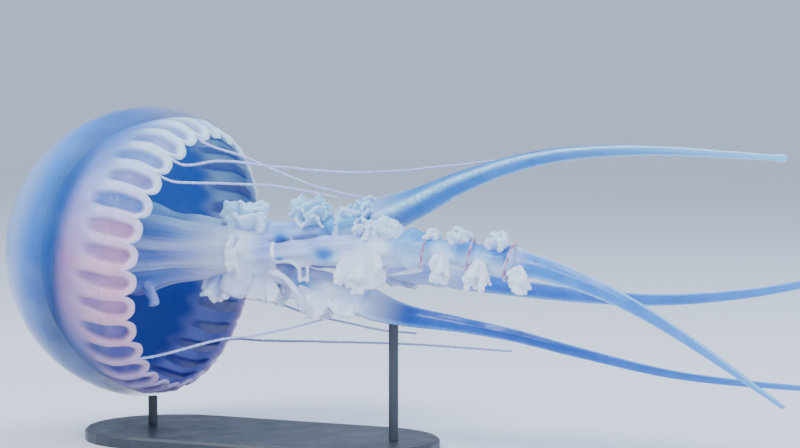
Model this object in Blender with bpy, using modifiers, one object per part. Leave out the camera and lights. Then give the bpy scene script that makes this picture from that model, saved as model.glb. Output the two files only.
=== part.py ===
"""A life-size jellyfish swimming on its side, held on a plain display stand.

The bell opens towards +X and the arms, clubs and tentacles trail behind it along +X. +Z is up.
The origin is the centre of the stand's underside. Everything is in metres.
"""

import math
from dataclasses import dataclass

import bmesh
import bpy
from mathutils import Matrix, Vector
from mathutils.geometry import interpolate_bezier

MM = 0.001
GAP = 0.3 * MM  # clearance between touching pieces

# ---- driving dimensions ------------------------------------------------------------------------
BELL_RADIUS = 125 * MM
BELL_CENTRE = Vector((-105 * MM, 0, 160 * MM))
BELL_PITCH = 8.0  # degrees that the opening dips below the horizontal
APEX_THICKNESS = 38 * MM  # clear jelly at the crown of the bell
RIM_THICKNESS = 3 * MM
RIM_ANGLE = 100.0  # degrees from the crown to the rim of the clear jelly
MUSCLE_THICKNESS = 3 * MM  # the pink sheet that lines the bell
FOLD_ANGLE = 86.0  # degrees from the crown to where the marginal folds begin
NOTCH_ANGLE = 109.0  # and to the notches between the lappets
LAPPET_ANGLE = 113.0  # and to the lappets' tips
LAPPET_INCURVE = 5 * MM  # how far the lappets' tips turn in
FOLD_DEPTH = 4 * MM
FOLD_START = 0.15  # share of a pocket's swell that it already has where the folds begin
LAPPETS = 32
BELL_STEPS = 30  # facets round the bell
WALL_PIECES = 7  # and from its crown to the folds
OUTER_PIECES = 9  # facets of the clear jelly's outside, from the crown to the rim
RIM_PIECES = 2  # and of its inside, from the rim to the folds
MARGIN_CLEARANCE = 0.8 * MM  # keeps the folds off those facets
LAPPET_COLUMNS, MARGIN_ROWS = 4, 2  # facets across a lappet, and from the folds to its tip
TENTACLE_RADIUS = 1.1 * MM
ROOT_SHARE = 0.3  # a tentacle's root is this much of its radius, to fit the notch
ROOT_CLEARANCE = 1.5 * MM

STOMACH_RIBS = 8
RIB_SHARE = 0.16  # a rib's height as a share of the stalk's radius, where it joins the lining
STALK_RADIUS = 19 * MM
STALK_ROOT = 46 * MM  # how far the stalk spreads where it joins the lining
STALK_FLARE = 7 * MM  # and where it joins the disc
STALK_STATIONS = 10  # outlines that shape it
AXIS_RISE = 4  # mm that the disc's middle stands over the bell's centre
DISC_START = 88 * MM  # along X from the bell's centre
ARM_START = 100 * MM
DISC_RADIUS = 28 * MM
DISC_POINTS = 16

BASE_LENGTH = 320 * MM
BASE_WIDTH = 150 * MM
BASE_THICKNESS = 10 * MM
BASE_EDGE = 2 * MM
ROD_RADIUS = 4 * MM
ROD_OVERLAP = 2 * MM  # how far the bell's rod is cut into, to seat the bell
ARM_ROD_X = 125 * MM
ARM_ROD_DROP = 8 * MM  # from the middle of the club that it carries

# ---- colours: base colour, roughness and metallic ----------------------------------------------
CLEAR_JELLY = ("clear_jelly", (0.25, 0.42, 0.72, 1), 0.25, 0.0)
PINK_MUSCLE = ("pink_muscle", (0.60, 0.48, 0.66, 1), 0.35, 0.0)
WHITE_FRILL = ("white_frill", (0.76, 0.84, 0.95, 1), 0.35, 0.0)
BLUE_CLUB = ("blue_club", (0.22, 0.55, 0.86, 1), 0.25, 0.0)
LILAC_THREAD = ("lilac_thread", (0.55, 0.58, 0.86, 1), 0.3, 0.0)
STAND_METAL = ("stand_metal", (0.05, 0.055, 0.06, 1), 0.4, 1.0)


# ---- scene helpers -----------------------------------------------------------------------------
def clear_scene():
    """Removes what the startup scene holds."""
    for obj in list(bpy.data.objects):
        bpy.data.objects.remove(obj)


def new_collection(name):
    """Links and returns an empty collection."""
    made = bpy.data.collections.new(name)
    bpy.context.scene.collection.children.link(made)
    return made


def material(finish):
    """Returns the Principled material of a finish, made once."""
    name, colour, roughness, metallic = finish
    made = bpy.data.materials.get(name)
    if made is None:
        made = bpy.data.materials.new(name)
        made.use_nodes = True
        shader = made.node_tree.nodes["Principled BSDF"]
        shader.inputs["Base Color"].default_value = colour
        shader.inputs["Roughness"].default_value = roughness
        shader.inputs["Metallic"].default_value = metallic
    return made


def add_object(name, data, finish):
    """Makes an object of a mesh or curve in the jellyfish's collection."""
    obj = bpy.data.objects.new(name, data)
    bpy.data.collections["jellyfish"].objects.link(obj)
    obj.data.materials.append(material(finish))
    return obj


def mesh_from(name, bm):
    """Turns a bmesh with its faces pointing out into a mesh."""
    bmesh.ops.recalc_face_normals(bm, faces=bm.faces)
    mesh = bpy.data.meshes.new(name)
    bm.to_mesh(mesh)
    bm.free()
    mesh.shade_smooth()
    mesh.set_sharp_from_angle(angle=math.radians(50))
    return mesh


def cut_with(obj, cutter, operation):
    """Applies a Boolean with a cutter, which stays as a hidden wire object."""
    cutter.hide_render = True
    cutter.display_type = "WIRE"
    for owner in list(cutter.users_collection):
        owner.objects.unlink(cutter)
    bpy.data.collections["cutters"].objects.link(cutter)
    boolean = obj.modifiers.new(operation.lower(), "BOOLEAN")
    boolean.operation = operation
    boolean.object = cutter


# ---- routes and lofts --------------------------------------------------------------------------
def mix(a, b, share):
    """A value that share of the way from a to b."""
    return a + (b - a) * share


def from_bell(x, y, z):
    """A point given in millimetres from the centre of the bell."""
    return BELL_CENTRE + Vector((x, y, z)) * MM


def smooth_route(points, pieces=12):
    """A smooth curve through the points, with that many short pieces for each of its spans."""
    slopes = []
    for before, point, after in zip([points[0], *points], points, [*points[1:], points[-1]]):
        slopes.append((after - before) / ((after - point).length + (point - before).length))
    route = []
    for start, end, slope_start, slope_end in zip(points, points[1:], slopes, slopes[1:]):
        pull = (end - start).length / 3
        span = interpolate_bezier(
            start, start + slope_start * pull, end - slope_end * pull, end, pieces + 1
        )
        route += span[:-1]
    return [*route, points[-1].copy()]


def route_length(route):
    """The length of a route."""
    return sum((b - a).length for a, b in zip(route, route[1:]))


def at_distance(route, distance):
    """The point of a route at a distance from its start."""
    for a, b in zip(route, route[1:]):
        span = (b - a).length
        if distance <= span or b is route[-1]:
            return a + (b - a) * (distance / span)
        distance -= span
    raise ValueError("the route has fewer than two points")


def across(route, distance):
    """Two directions square to a route: up, and towards the viewer's side at -Y."""
    direction = (at_distance(route, distance + MM) - at_distance(route, distance - MM)).normalized()
    up = Vector((0, 0, 1))
    up = (up - direction * up.dot(direction)).normalized()
    return up, direction.cross(up)


def loft(name, finish, route, start, end, stations, section):
    """A closed tube along part of a route.

    section(distance) gives its outline there as (angle, radius) pairs, turned from up towards
    the viewer.
    """
    bm = bmesh.new()
    rings = []
    for i in range(stations):
        distance = mix(start, end, i / (stations - 1))
        point = at_distance(route, distance)
        up, toward = across(route, distance)
        rings.append([
            bm.verts.new(point + (up * math.cos(turn) + toward * math.sin(turn)) * radius)
            for turn, radius in section(distance)
        ])
    for here, there in zip(rings, rings[1:]):
        for k in range(len(here)):
            n = (k + 1) % len(here)
            bm.faces.new((here[k], here[n], there[n], there[k]))
    bm.faces.new(rings[0])
    bm.faces.new(rings[-1])
    return add_object(name, mesh_from(name, bm), finish)


# ---- the bell ----------------------------------------------------------------------------------
def bell_matrix():
    """Places a piece that is turned about its local Z, with the crown at +Z."""
    return Matrix.Translation(BELL_CENTRE) @ Matrix.Rotation(math.radians(BELL_PITCH - 90), 4, "Y")


def jelly_thickness(angle):
    """Thickness of the clear jelly at an angle in degrees from the crown."""
    return mix(APEX_THICKNESS, RIM_THICKNESS, (angle / RIM_ANGLE) ** 1.5)


def lining_radius(angle):
    """Distance from the bell's centre to the pink lining's outer face."""
    if angle <= RIM_ANGLE:
        return BELL_RADIUS - jelly_thickness(angle) - GAP
    turned = (angle - RIM_ANGLE) / (LAPPET_ANGLE - RIM_ANGLE)
    return BELL_RADIUS - RIM_THICKNESS - GAP - LAPPET_INCURVE * turned**2


def bell_point(angle, around, radius):
    """A point in the bell's own frame: angle from the crown, and around from up to the viewer."""
    tilt = math.radians(angle)
    turn = math.radians(around)
    out = radius * math.sin(tilt)
    return Vector((out * math.cos(turn), -out * math.sin(turn), radius * math.cos(tilt)))


def turned(name, profile, finish, steps):
    """A solid turned from a profile of (angle from the crown, radius) about the bell's axis."""
    bm = bmesh.new()
    verts = [bm.verts.new(bell_point(angle, 0, radius)) for angle, radius in profile]
    for a, b in zip(verts, verts[1:]):
        bm.edges.new((a, b))
    mesh = bpy.data.meshes.new(name)
    bm.to_mesh(mesh)
    bm.free()
    obj = add_object(name, mesh, finish)
    obj.matrix_world = bell_matrix()
    screw = obj.modifiers.new("turn", "SCREW")
    screw.steps = screw.render_steps = steps
    screw.use_merge_vertices = True
    screw.merge_threshold = 0.0001
    return obj


def arc_angles(first, last, pieces):
    """Evenly spaced angles from first to last."""
    return [mix(first, last, i / pieces) for i in range(pieces + 1)]


def make_umbrella():
    """The thick clear jelly of the bell."""
    outer = [(a, BELL_RADIUS) for a in arc_angles(0, RIM_ANGLE, OUTER_PIECES)]
    folded = arc_angles(RIM_ANGLE, FOLD_ANGLE, RIM_PIECES)
    lined = arc_angles(FOLD_ANGLE, 0, WALL_PIECES)
    inner = [(a, BELL_RADIUS - jelly_thickness(a)) for a in folded[:-1] + lined]
    turned("umbrella", outer + inner, CLEAR_JELLY, BELL_STEPS)


def lining_inside():
    """The inner profile of the pink lining, from the folds to the crown."""
    last = FOLD_ANGLE - math.degrees(GAP / BELL_RADIUS)
    return [(a, lining_radius(a) - MUSCLE_THICKNESS) for a in arc_angles(last, 0, WALL_PIECES)]


def make_lining():
    """The smooth part of the pink muscle sheet, from the crown to the folds."""
    inner = lining_inside()
    outer = [(a, lining_radius(a)) for a, _ in reversed(inner)]
    turned("subumbrella", outer + inner, PINK_MUSCLE, BELL_STEPS)


def lappet_end(across_lappet):
    """Angle from the crown to the margin, across a lappet from -0.5 to 0.5."""
    bulge = math.sqrt(max(0.0, 1 - (2 * across_lappet) ** 2))
    return mix(NOTCH_ANGLE, LAPPET_ANGLE, bulge)


def make_margin(name, first_lappet, lappets):
    """Part of the folded margin: ribs between pockets, which end in rounded lappets."""
    columns = lappets * LAPPET_COLUMNS
    pitch = 360 / LAPPETS
    side_gap = math.degrees(GAP / BELL_RADIUS) / 2
    bm = bmesh.new()
    bmesh.ops.create_grid(bm, x_segments=columns, y_segments=MARGIN_ROWS, size=0.5)
    for vert in bm.verts:
        column = round((vert.co.x + 0.5) * columns)
        along = vert.co.y + 0.5
        across_lappet = column % LAPPET_COLUMNS / LAPPET_COLUMNS - 0.5
        angle = mix(FOLD_ANGLE, lappet_end(across_lappet), along)
        pocket = 0.5 + 0.5 * math.cos(math.tau * across_lappet)
        swell = math.sin(math.pi * mix(FOLD_START, 1.0, along))
        around = (first_lappet + column / LAPPET_COLUMNS) * pitch
        if column == 0:
            around += side_gap
        if column == columns:
            around -= side_gap
        depth = MARGIN_CLEARANCE + FOLD_DEPTH * pocket * swell
        vert.co = bell_point(angle, around, lining_radius(angle) - depth)
    inside = bmesh.ops.extrude_face_region(bm, geom=bm.faces[:], use_keep_orig=True)["geom"]
    for vert in inside:
        if isinstance(vert, bmesh.types.BMVert):
            vert.co -= vert.co.normalized() * MUSCLE_THICKNESS
    obj = add_object(name, mesh_from(name, bm), PINK_MUSCLE)
    obj.matrix_world = bell_matrix()


def make_bell():
    """The clear jelly, its pink lining and the folded margin in quarters."""
    make_umbrella()
    make_lining()
    quarter = LAPPETS // 4
    for index, side in enumerate(("upper", "near", "lower", "far")):
        make_margin("margin_" + side, index * quarter - quarter // 2, quarter)


# ---- the stomach stalk and the mouth's disc ----------------------------------------------------
def stalk_route():
    """The line of the stalk, from the crown of the lining to the disc."""
    crown, middle = from_bell(-92, 0, 12), from_bell(10, 0, AXIS_RISE)
    return smooth_route([crown, middle, from_bell(DISC_START / MM, 0, AXIS_RISE)])


def stalk_section(distance):
    """Outline of the ribbed stalk, wide where it joins the lining."""
    share = distance / route_length(stalk_route())
    radius = STALK_RADIUS + STALK_ROOT * (1 - share) ** 2.6 + STALK_FLARE * share**4
    rib = RIB_SHARE * (1 - share / 2)
    points = 2 * STOMACH_RIBS
    return [
        (math.tau * k / points, radius * (1 + (rib if k % 2 else -rib)))
        for k in range(points)
    ]


def make_stalk():
    """The ribbed stalk that hangs inside the bell, fitted to the lining's inner face."""
    route = stalk_route()
    end = route_length(route) - GAP
    stalk = loft("manubrium", WHITE_FRILL, route, 0, end, STALK_STATIONS, stalk_section)
    hollow = [(a, r - GAP) for a, r in reversed(lining_inside())]
    beyond = 1.2 * BELL_RADIUS
    hollow += [(a, beyond) for a in (90, 140, 180)]
    fit = turned("lining_hollow", hollow, WHITE_FRILL, BELL_STEPS)
    cut_with(stalk, fit, "INTERSECT")


def make_disc():
    """The disc round the mouth, which carries the four arms."""
    route = [from_bell(x / MM, 0, AXIS_RISE) for x in (DISC_START, ARM_START)]

    def section(_distance):
        return [(math.tau * k / DISC_POINTS, DISC_RADIUS) for k in range(DISC_POINTS)]

    loft("oral_disc", WHITE_FRILL, route, 0, route_length(route) - GAP, 2, section)


# ---- frilled shoulders -------------------------------------------------------------------------
# Turn round the stalk in degrees, reach from the disc's middle, and lean back along -X, in mm.
SHOULDERS = {
    "upper": (0, 47, 2),
    "near": (90, 40, 8),
    "lower": (180, 46, 16),
    "far": (270, 42, 2),
}
LEAF_THICKNESS = 2.4 * MM
LEAF_ROOT, LEAF_EDGE = 6, 23  # half widths in mm
LEAF_RUFFLE = 6  # mm that the edge waves to either side
LEAF_DROP = 4  # mm that the edge's ends hang below its middle
LEAF_SCALLOP = 2.5  # mm
LEAF_COLUMNS, LEAF_ROWS = 8, 3


def make_shoulder(side, turn, reach, lean):
    """A ruffled fan that grows out of the disc's edge."""
    out = Vector((0, -math.sin(math.radians(turn)), math.cos(math.radians(turn))))
    sideways = Vector((1, 0, 0)).cross(out)
    middle = from_bell((DISC_START + ARM_START) / 2 / MM, 0, AXIS_RISE)
    root = (DISC_RADIUS + 2 * GAP) / MM
    bm = bmesh.new()
    bmesh.ops.create_grid(bm, x_segments=LEAF_COLUMNS, y_segments=LEAF_ROWS, size=0.5)
    for vert in bm.verts:
        w = 2 * vert.co.x  # from -1 to 1 across the leaf
        t = vert.co.y + 0.5  # from 0 at the root to 1 at the edge
        spread = mix(LEAF_ROOT, LEAF_EDGE, t**0.5) * w - lean * t
        ruffle = LEAF_RUFFLE * t**1.5 * math.sin(2.5 * math.pi * w)
        scallop = LEAF_SCALLOP * t**2 * math.cos(math.tau * w)
        height = mix(root, reach, t) - LEAF_DROP * t * w**2 + scallop
        vert.co = middle + (out * height + Vector((spread, 0, 0)) + sideways * ruffle) * MM
    obj = add_object("shoulder_" + side, mesh_from("shoulder_" + side, bm), WHITE_FRILL)
    leaf = obj.modifiers.new("leaf", "SOLIDIFY")
    leaf.thickness = LEAF_THICKNESS
    leaf.offset = 0.0


# ---- oral arms ---------------------------------------------------------------------------------
@dataclass(frozen=True)
class Frill:
    """A wing of an arm, in mm, turned so many degrees from up towards the viewer."""

    middle: float  # along X from the bell's centre
    half: float
    reach: float
    turn: float


@dataclass(frozen=True)
class Club:
    """A club's radii in mm, how fast its root narrows to its waist, and how much its tip swells."""

    root: float
    waist: float  # what the even taper from the tip would come to at the root
    tip: float
    flare: float
    knob: float = 1.0


@dataclass(frozen=True)
class Arm:
    """An arm and the club that ends it, on one route in mm from the bell's centre."""

    side: str
    route: tuple
    club_x: float  # where the club starts
    radii: tuple  # (x, radius) pairs
    frills: tuple
    club: Club
    cuts: tuple = ()  # where the arm is divided
    cuffs: tuple = ()  # where one joint slips over the next


UPPER_ARM = Arm(
    side="upper",
    route=(
        (100, 0, 20), (190, 0, 27), (242, 0, 46), (292, -3, 68), (341, -6, 84), (388, -10, 93),
        (458, -15, 97), (575, -25, 93),
    ),
    club_x=217,
    radii=((100, 10.6), (185, 11), (217, 12)),
    frills=(
        Frill(148, 17, 17, -20), Frill(148, 14, 14, 40),
        Frill(178, 12, 10, 0),
        Frill(204, 13, 11, -40), Frill(204, 13, 12, 60),
    ),
    club=Club(root=17.0, waist=8.0, tip=2.0, flare=5.0, knob=1.35),
)
NEAR_ARM = Arm(
    side="near",
    route=(
        (100, -16, 4), (215, -20, 10), (262, -23, 12), (300, -25, 10), (345, -30, 6), (398, -37, -4),
        (450, -46, -20), (507, -56, -47), (588, -70, -93),
    ),
    club_x=349,
    cuts=(209, 272),
    cuffs=(267, 307, 346),
    radii=((100, 10.6), (185, 11.4), (215, 13.5), (246, 14.5), (270, 11), (310, 10), (349, 12)),
    frills=(
        Frill(212, 24, 18, 140), Frill(208, 18, 12, 60), Frill(222, 14, 9, 20),
        Frill(283, 11, 19, 160), Frill(262, 6, 5, -10),
        Frill(322, 11, 20, 160), Frill(299, 9, 11, 0),
        Frill(356, 12, 14, 160), Frill(335, 9, 11, 10),
    ),
    club=Club(root=12.5, waist=8.4, tip=1.6, flare=7.0),
)
LOWER_ARM = Arm(
    side="lower",
    route=(
        (100, 0, -12), (170, 0, -24), (212, 0, -39), (246, -1, -46), (290, -3, -50), (340, -6, -56),
        (395, -9, -66), (490, -16, -80), (632, -20, -85),
    ),
    club_x=206,
    radii=((100, 10.6), (180, 12), (206, 13)),
    frills=(
        Frill(130, 14, 19, 180), Frill(130, 12, 13, 130),
        Frill(162, 17, 22, 180), Frill(162, 14, 16, 120),
        Frill(194, 12, 14, 90),
    ),
    club=Club(root=15.0, waist=6.2, tip=1.6, flare=9.0),
)
FAR_ARM = Arm(
    side="far",
    route=(
        (100, 16, 4), (190, 18, -3), (300, 29, -19), (430, 39, -27), (520, 46, -19), (602, 55, -1),
    ),
    club_x=270,
    radii=((100, 10.2), (190, 9.5), (270, 9)),
    frills=(Frill(150, 18, 13, -90), Frill(190, 16, 12, -110), Frill(228, 14, 9, -140)),
    club=Club(root=9.0, waist=6.4, tip=2.8, flare=4.0),
)
ARMS = (UPPER_ARM, NEAR_ARM, LOWER_ARM, FAR_ARM)

CUFF_FLARE = 2.2 * MM
CUFF_LENGTH = 26  # mm
STRAIGHT_START = 15 * MM
WING_SWING = 9.0  # degrees that a frill's edge swings to and fro
WING_SWINGS = 1.1  # how often it does so in half the frill's length
SCALLOP = 0.18  # depth of the scallops as a share of the frill's reach
SCALLOPS = 1.5  # how many fit in half the frill's length
OUTLINE_POINTS = 16
STATION_PITCH = 9.4 * MM


def arm_route(arm):
    """The route of an arm and its club, which leaves the disc square to it."""
    start, *rest = (from_bell(*p) for p in arm.route)
    return smooth_route([start, start + Vector((STRAIGHT_START, 0, 0)), *rest])


def along_x(route, x):
    """Distance along a route to x mm from the bell's centre."""
    distance = 0.0
    for a, b in zip(route, route[1:]):
        reached = (b.x - BELL_CENTRE.x) / MM
        if reached >= x:
            share = (x - (a.x - BELL_CENTRE.x) / MM) * MM / (b.x - a.x)
            return distance + (b - a).length * share
        distance += (b - a).length
    return distance


def read_off(pairs, x):
    """Reads a value off a list of (x, value) pairs, straight between them."""
    for (x0, v0), (x1, v1) in zip(pairs, pairs[1:]):
        if x <= x1:
            return mix(v0, v1, max(0.0, (x - x0) / (x1 - x0)))
    return pairs[-1][1]


def cuff_flare(cuffs, x):
    """How far an arm flares where one joint slips over the next, x mm from the bell's centre."""
    for cuff in cuffs:
        if cuff - CUFF_LENGTH < x <= cuff:
            return CUFF_FLARE * ((x - cuff) / CUFF_LENGTH + 1) ** 3
    return 0.0


def arm_section(arm, route):
    """Outline of an arm: a round shaft, with a thin wing wherever a frill grows."""
    step = 360 / OUTLINE_POINTS

    def section(distance):
        x = (at_distance(route, distance).x - BELL_CENTRE.x) / MM
        shaft = read_off(arm.radii, x) * MM + cuff_flare(arm.cuffs, x)
        outline = [[k * step, shaft] for k in range(OUTLINE_POINTS)]
        for frill in arm.frills:
            share = (x - frill.middle) / frill.half
            if abs(share) < 1:
                wing = outline[round(frill.turn / step) % OUTLINE_POINTS]
                scallop = 1 - SCALLOP + SCALLOP * math.cos(share * SCALLOPS * math.tau)
                wing[0] += WING_SWING * math.sin(share * WING_SWINGS * math.tau + frill.turn)
                wing[1] += frill.reach * MM * (1 - share**4) * scallop
        return [(math.radians(turn), radius) for turn, radius in outline]

    return section


def make_arm(arm):
    """An oral arm, in one length or more."""
    route = arm_route(arm)
    marks = [along_x(route, x) for x in (*arm.cuts, arm.club_x)]
    for index, (start, end) in enumerate(zip([0.0, *marks], marks)):
        name = f"arm_{arm.side}_{index + 1}" if arm.cuts else "arm_" + arm.side
        stations = round((end - start) / STATION_PITCH) + 1
        first = start + GAP / 2 if index else start
        loft(name, WHITE_FRILL, route, first, end - GAP / 2, stations, arm_section(arm, route))


# ---- terminal clubs ----------------------------------------------------------------------------
CLUB_LENGTHS = ("root", "middle", "tip")
CLUB_STATIONS = 6  # outlines that shape each length
CLUB_RIDGES = 3
CLUB_RIDGE = 0.17
CLUB_TWIST = 50.0  # degrees from root to tip
KNOB_START = 0.985  # share of the club's length


def club_span(arm):
    """The arm's route, and the distances along it at which its club starts and ends."""
    route = arm_route(arm)
    return route, along_x(route, arm.club_x), route_length(route)


def club_section(club, start, end, extra=0.0):
    """Three-ridged outline of a slowly twisting club, thicker all round by an extra amount."""
    points = 3 * CLUB_RIDGES

    def section(distance):
        along = (distance - start) / (end - start)
        flared = (club.root - club.waist) * (1 - along) ** club.flare
        radius = (mix(club.waist, club.tip, along) + flared) * MM + extra
        if along > KNOB_START:
            radius *= club.knob
        twist = math.radians(CLUB_TWIST * along)
        return [
            (math.tau * k / points + twist, radius * (1 + (-CLUB_RIDGE if k % 3 else 2 * CLUB_RIDGE)))
            for k in range(points)
        ]

    return section


def make_club(arm):
    """A terminal club in three lengths."""
    route, start, end = club_span(arm)
    section = club_section(arm.club, start, end)
    for index, length in enumerate(CLUB_LENGTHS):
        first = mix(start, end, index / 3) + GAP / 2
        last = mix(start, end, (index + 1) / 3) - GAP / 2
        name = f"club_{arm.side}_{length}"
        loft(name, BLUE_CLUB, route, first, last, CLUB_STATIONS, section)


# ---- marginal tentacles ------------------------------------------------------------------------
# For each: the notch that it starts in, so many lappets round from the top towards the viewer, and
# the points that it trails through, in mm from the bell's centre.
TENTACLES = (
    (1, ((95, -8, 84), (130, -2, 70), (165, 4, 58), (205, 14, 50), (232, 22, 49))),
    (3, ((90, -42, 82), (140, -25, 77), (195, -5, 73), (245, 12, 76), (296, 20, 82), (330, 24, 86))),
    (4, ((80, -66, 65), (105, -55, 64), (135, -42, 63), (165, -30, 58), (190, -22, 53))),
    (12, ((68, -68, -74), (92, -52, -67), (120, -30, -63), (145, -8, -57), (168, 10, -50))),
    (20, ((75, 66, -80), (120, 52, -77), (180, 40, -74), (240, 30, -72), (330, 18, -72))),
    (22, ((80, 80, -48), (118, 62, -54), (160, 48, -58), (205, 34, -62), (240, 26, -62))),
    (24, ((85, 92, -2), (140, 72, 4), (200, 62, 6), (270, 58, 2), (340, 60, -6))),
    (25, ((85, 88, 20), (140, 66, 18), (205, 54, 16), (265, 52, 12), (320, 56, 6))),
)
TENTACLE_TAPER = 0.7  # the end's radius as a share of the root's
TENTACLE_PIECES = 6  # straight pieces in each length
CLEAR_ANGLE = LAPPET_ANGLE + 4  # where a tentacle is clear of the lappets


def make_tentacle(number, notch, points):
    """A marginal tentacle in two lengths."""
    around = notch * 360 / LAPPETS
    matrix = bell_matrix()
    wall_middle = lining_radius(NOTCH_ANGLE) - MUSCLE_THICKNESS / 2
    start_angle = NOTCH_ANGLE + math.degrees(ROOT_CLEARANCE / BELL_RADIUS)
    root = matrix @ bell_point(start_angle, around, wall_middle)
    clear = matrix @ bell_point(CLEAR_ANGLE, around, wall_middle)
    route = smooth_route([root, clear, *(from_bell(*p) for p in points)], TENTACLE_PIECES)
    total = route_length(route)
    for index, length in enumerate(("root", "end")):
        start = total * index / 2 + GAP / 2
        end = total * (index + 1) / 2 - GAP / 2
        curve = bpy.data.curves.new(f"tentacle_{number}_{length}", "CURVE")
        curve.dimensions = "3D"
        curve.bevel_depth = TENTACLE_RADIUS
        curve.bevel_resolution = 1
        curve.use_fill_caps = True
        spline = curve.splines.new("POLY")
        spline.points.add(TENTACLE_PIECES)
        for i, point in enumerate(spline.points):
            distance = mix(start, end, i / TENTACLE_PIECES)
            point.co = (*at_distance(route, distance), 1)
            rooted = index == 0 and i == 0
            point.radius = ROOT_SHARE if rooted else mix(1.0, TENTACLE_TAPER, distance / total)
        add_object(curve.name, curve, LILAC_THREAD)


# ---- display stand -----------------------------------------------------------------------------
def is_upright(edge):
    """True for an edge that runs from the base's underside to its top."""
    return abs(edge.verts[0].co.z - edge.verts[1].co.z) > BASE_THICKNESS / 2


def is_top_rim(edge):
    """True for an edge between the base's top and its side."""
    on_top = all(v.co.z > BASE_THICKNESS / 2 for v in edge.verts)
    return on_top and any(abs(f.normal.z) < 0.5 for f in edge.link_faces)


def round_off(bm, edges, offset, segments):
    """Bevels edges with a round profile."""
    bmesh.ops.bevel(
        bm, geom=edges, offset=offset, segments=segments, profile=0.5, affect="EDGES", material=-1
    )


def make_base():
    """The flat base, an oblong plate with round ends and softened edges."""
    bm = bmesh.new()
    bmesh.ops.create_cube(bm, size=1.0)
    size = Vector((BASE_LENGTH, BASE_WIDTH, BASE_THICKNESS))
    bmesh.ops.scale(bm, vec=size, verts=bm.verts)
    bmesh.ops.translate(bm, vec=(0, 0, BASE_THICKNESS / 2), verts=bm.verts)
    round_off(bm, [e for e in bm.edges if is_upright(e)], BASE_WIDTH * 0.49, 6)
    round_off(bm, [e for e in bm.edges if is_top_rim(e)], BASE_EDGE, 1)
    add_object("stand_base", mesh_from("stand_base", bm), STAND_METAL)


def make_rod(name, x, top, cutter):
    """An upright rod whose top is cut to seat what it carries."""
    bottom = BASE_THICKNESS + GAP
    bpy.ops.mesh.primitive_cylinder_add(
        vertices=16, radius=ROD_RADIUS, depth=top - bottom, location=(x, 0, (top + bottom) / 2)
    )
    rod = bpy.context.object
    rod.name = rod.data.name = name
    for owner in list(rod.users_collection):
        owner.objects.unlink(rod)
    bpy.data.collections["jellyfish"].objects.link(rod)
    rod.data.materials.append(material(STAND_METAL))
    rod.data.shade_smooth()
    rod.data.set_sharp_from_angle(angle=math.radians(40))
    cut_with(rod, cutter, "DIFFERENCE")


def seat_sphere():
    """A ball just larger than the bell, which hollows the bell's rod."""
    bm = bmesh.new()
    bmesh.ops.create_uvsphere(bm, u_segments=64, v_segments=48, radius=BELL_RADIUS + GAP)
    obj = add_object("bell_seat", mesh_from("bell_seat", bm), STAND_METAL)
    obj.matrix_world = bell_matrix()
    return obj


def seat_club():
    """The lower club's root made just larger, which hollows the other rod."""
    route, start, end = club_span(LOWER_ARM)
    section = club_section(LOWER_ARM.club, start, end, GAP)
    first_cut = mix(start, end, 1 / 3)
    return loft("club_seat", STAND_METAL, route, start, first_cut, CLUB_STATIONS, section)


def make_stand():
    """The base and the two rods: one under the bell and one under the lower club."""
    make_base()
    bell_bottom = BELL_CENTRE.z - BELL_RADIUS
    make_rod("stand_rod_bell", BELL_CENTRE.x, bell_bottom + ROD_OVERLAP, seat_sphere())
    route = arm_route(LOWER_ARM)
    over_rod = at_distance(route, along_x(route, (ARM_ROD_X - BELL_CENTRE.x) / MM))
    make_rod("stand_rod_arms", ARM_ROD_X, over_rod.z - ARM_ROD_DROP, seat_club())


def main():
    """Builds every piece."""
    clear_scene()
    new_collection("jellyfish")
    new_collection("cutters")
    make_bell()
    make_stalk()
    make_disc()
    for side, (turn, reach, lean) in SHOULDERS.items():
        make_shoulder(side, turn, reach, lean)
    for arm in ARMS:
        make_arm(arm)
        make_club(arm)
    for number, (notch, points) in enumerate(TENTACLES, 1):
        make_tentacle(number, notch, points)
    make_stand()


main()
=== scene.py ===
"""Looks of a life-size jellyfish that swims on its side above a plain display stand.

The bell opens towards +X and the arms trail along +X. Sizes are in metres, apart from those that a
comment, a docstring or a name ending in _mm gives in mm from the bell's centre. Most surfaces are
grids whose points are functions of u, the share round, and v, the share along, each from 0 to 1.
"""

import logging
from bisect import bisect_right
from dataclasses import dataclass, field, replace
from enum import Enum
from math import acos, copysign, cos, degrees, exp, hypot, pi, radians, sin, sqrt, tau
from typing import Callable, TypeVar, Union

import bmesh
import bpy
from mathutils import Matrix, Vector, noise
from mathutils.geometry import interpolate_bezier
from mathutils.kdtree import KDTree


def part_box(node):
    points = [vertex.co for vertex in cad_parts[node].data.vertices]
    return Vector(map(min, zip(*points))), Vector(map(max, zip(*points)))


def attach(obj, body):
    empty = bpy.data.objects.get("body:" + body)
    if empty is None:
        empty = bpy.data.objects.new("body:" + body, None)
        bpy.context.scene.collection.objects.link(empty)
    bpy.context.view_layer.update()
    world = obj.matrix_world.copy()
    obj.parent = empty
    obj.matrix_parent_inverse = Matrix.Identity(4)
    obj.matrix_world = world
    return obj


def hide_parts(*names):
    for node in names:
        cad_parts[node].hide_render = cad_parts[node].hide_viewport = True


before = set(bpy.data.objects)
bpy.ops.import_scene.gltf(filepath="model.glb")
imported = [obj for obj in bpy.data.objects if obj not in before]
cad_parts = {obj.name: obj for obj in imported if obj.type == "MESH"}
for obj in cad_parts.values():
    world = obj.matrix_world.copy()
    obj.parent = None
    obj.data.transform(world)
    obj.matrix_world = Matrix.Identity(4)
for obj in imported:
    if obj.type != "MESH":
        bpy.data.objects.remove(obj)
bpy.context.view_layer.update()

MM = 0.001
UP = Vector((0, 0, 1))
AHEAD = Vector((1, 0, 0))
ROOT_BODY = "root"

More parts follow.
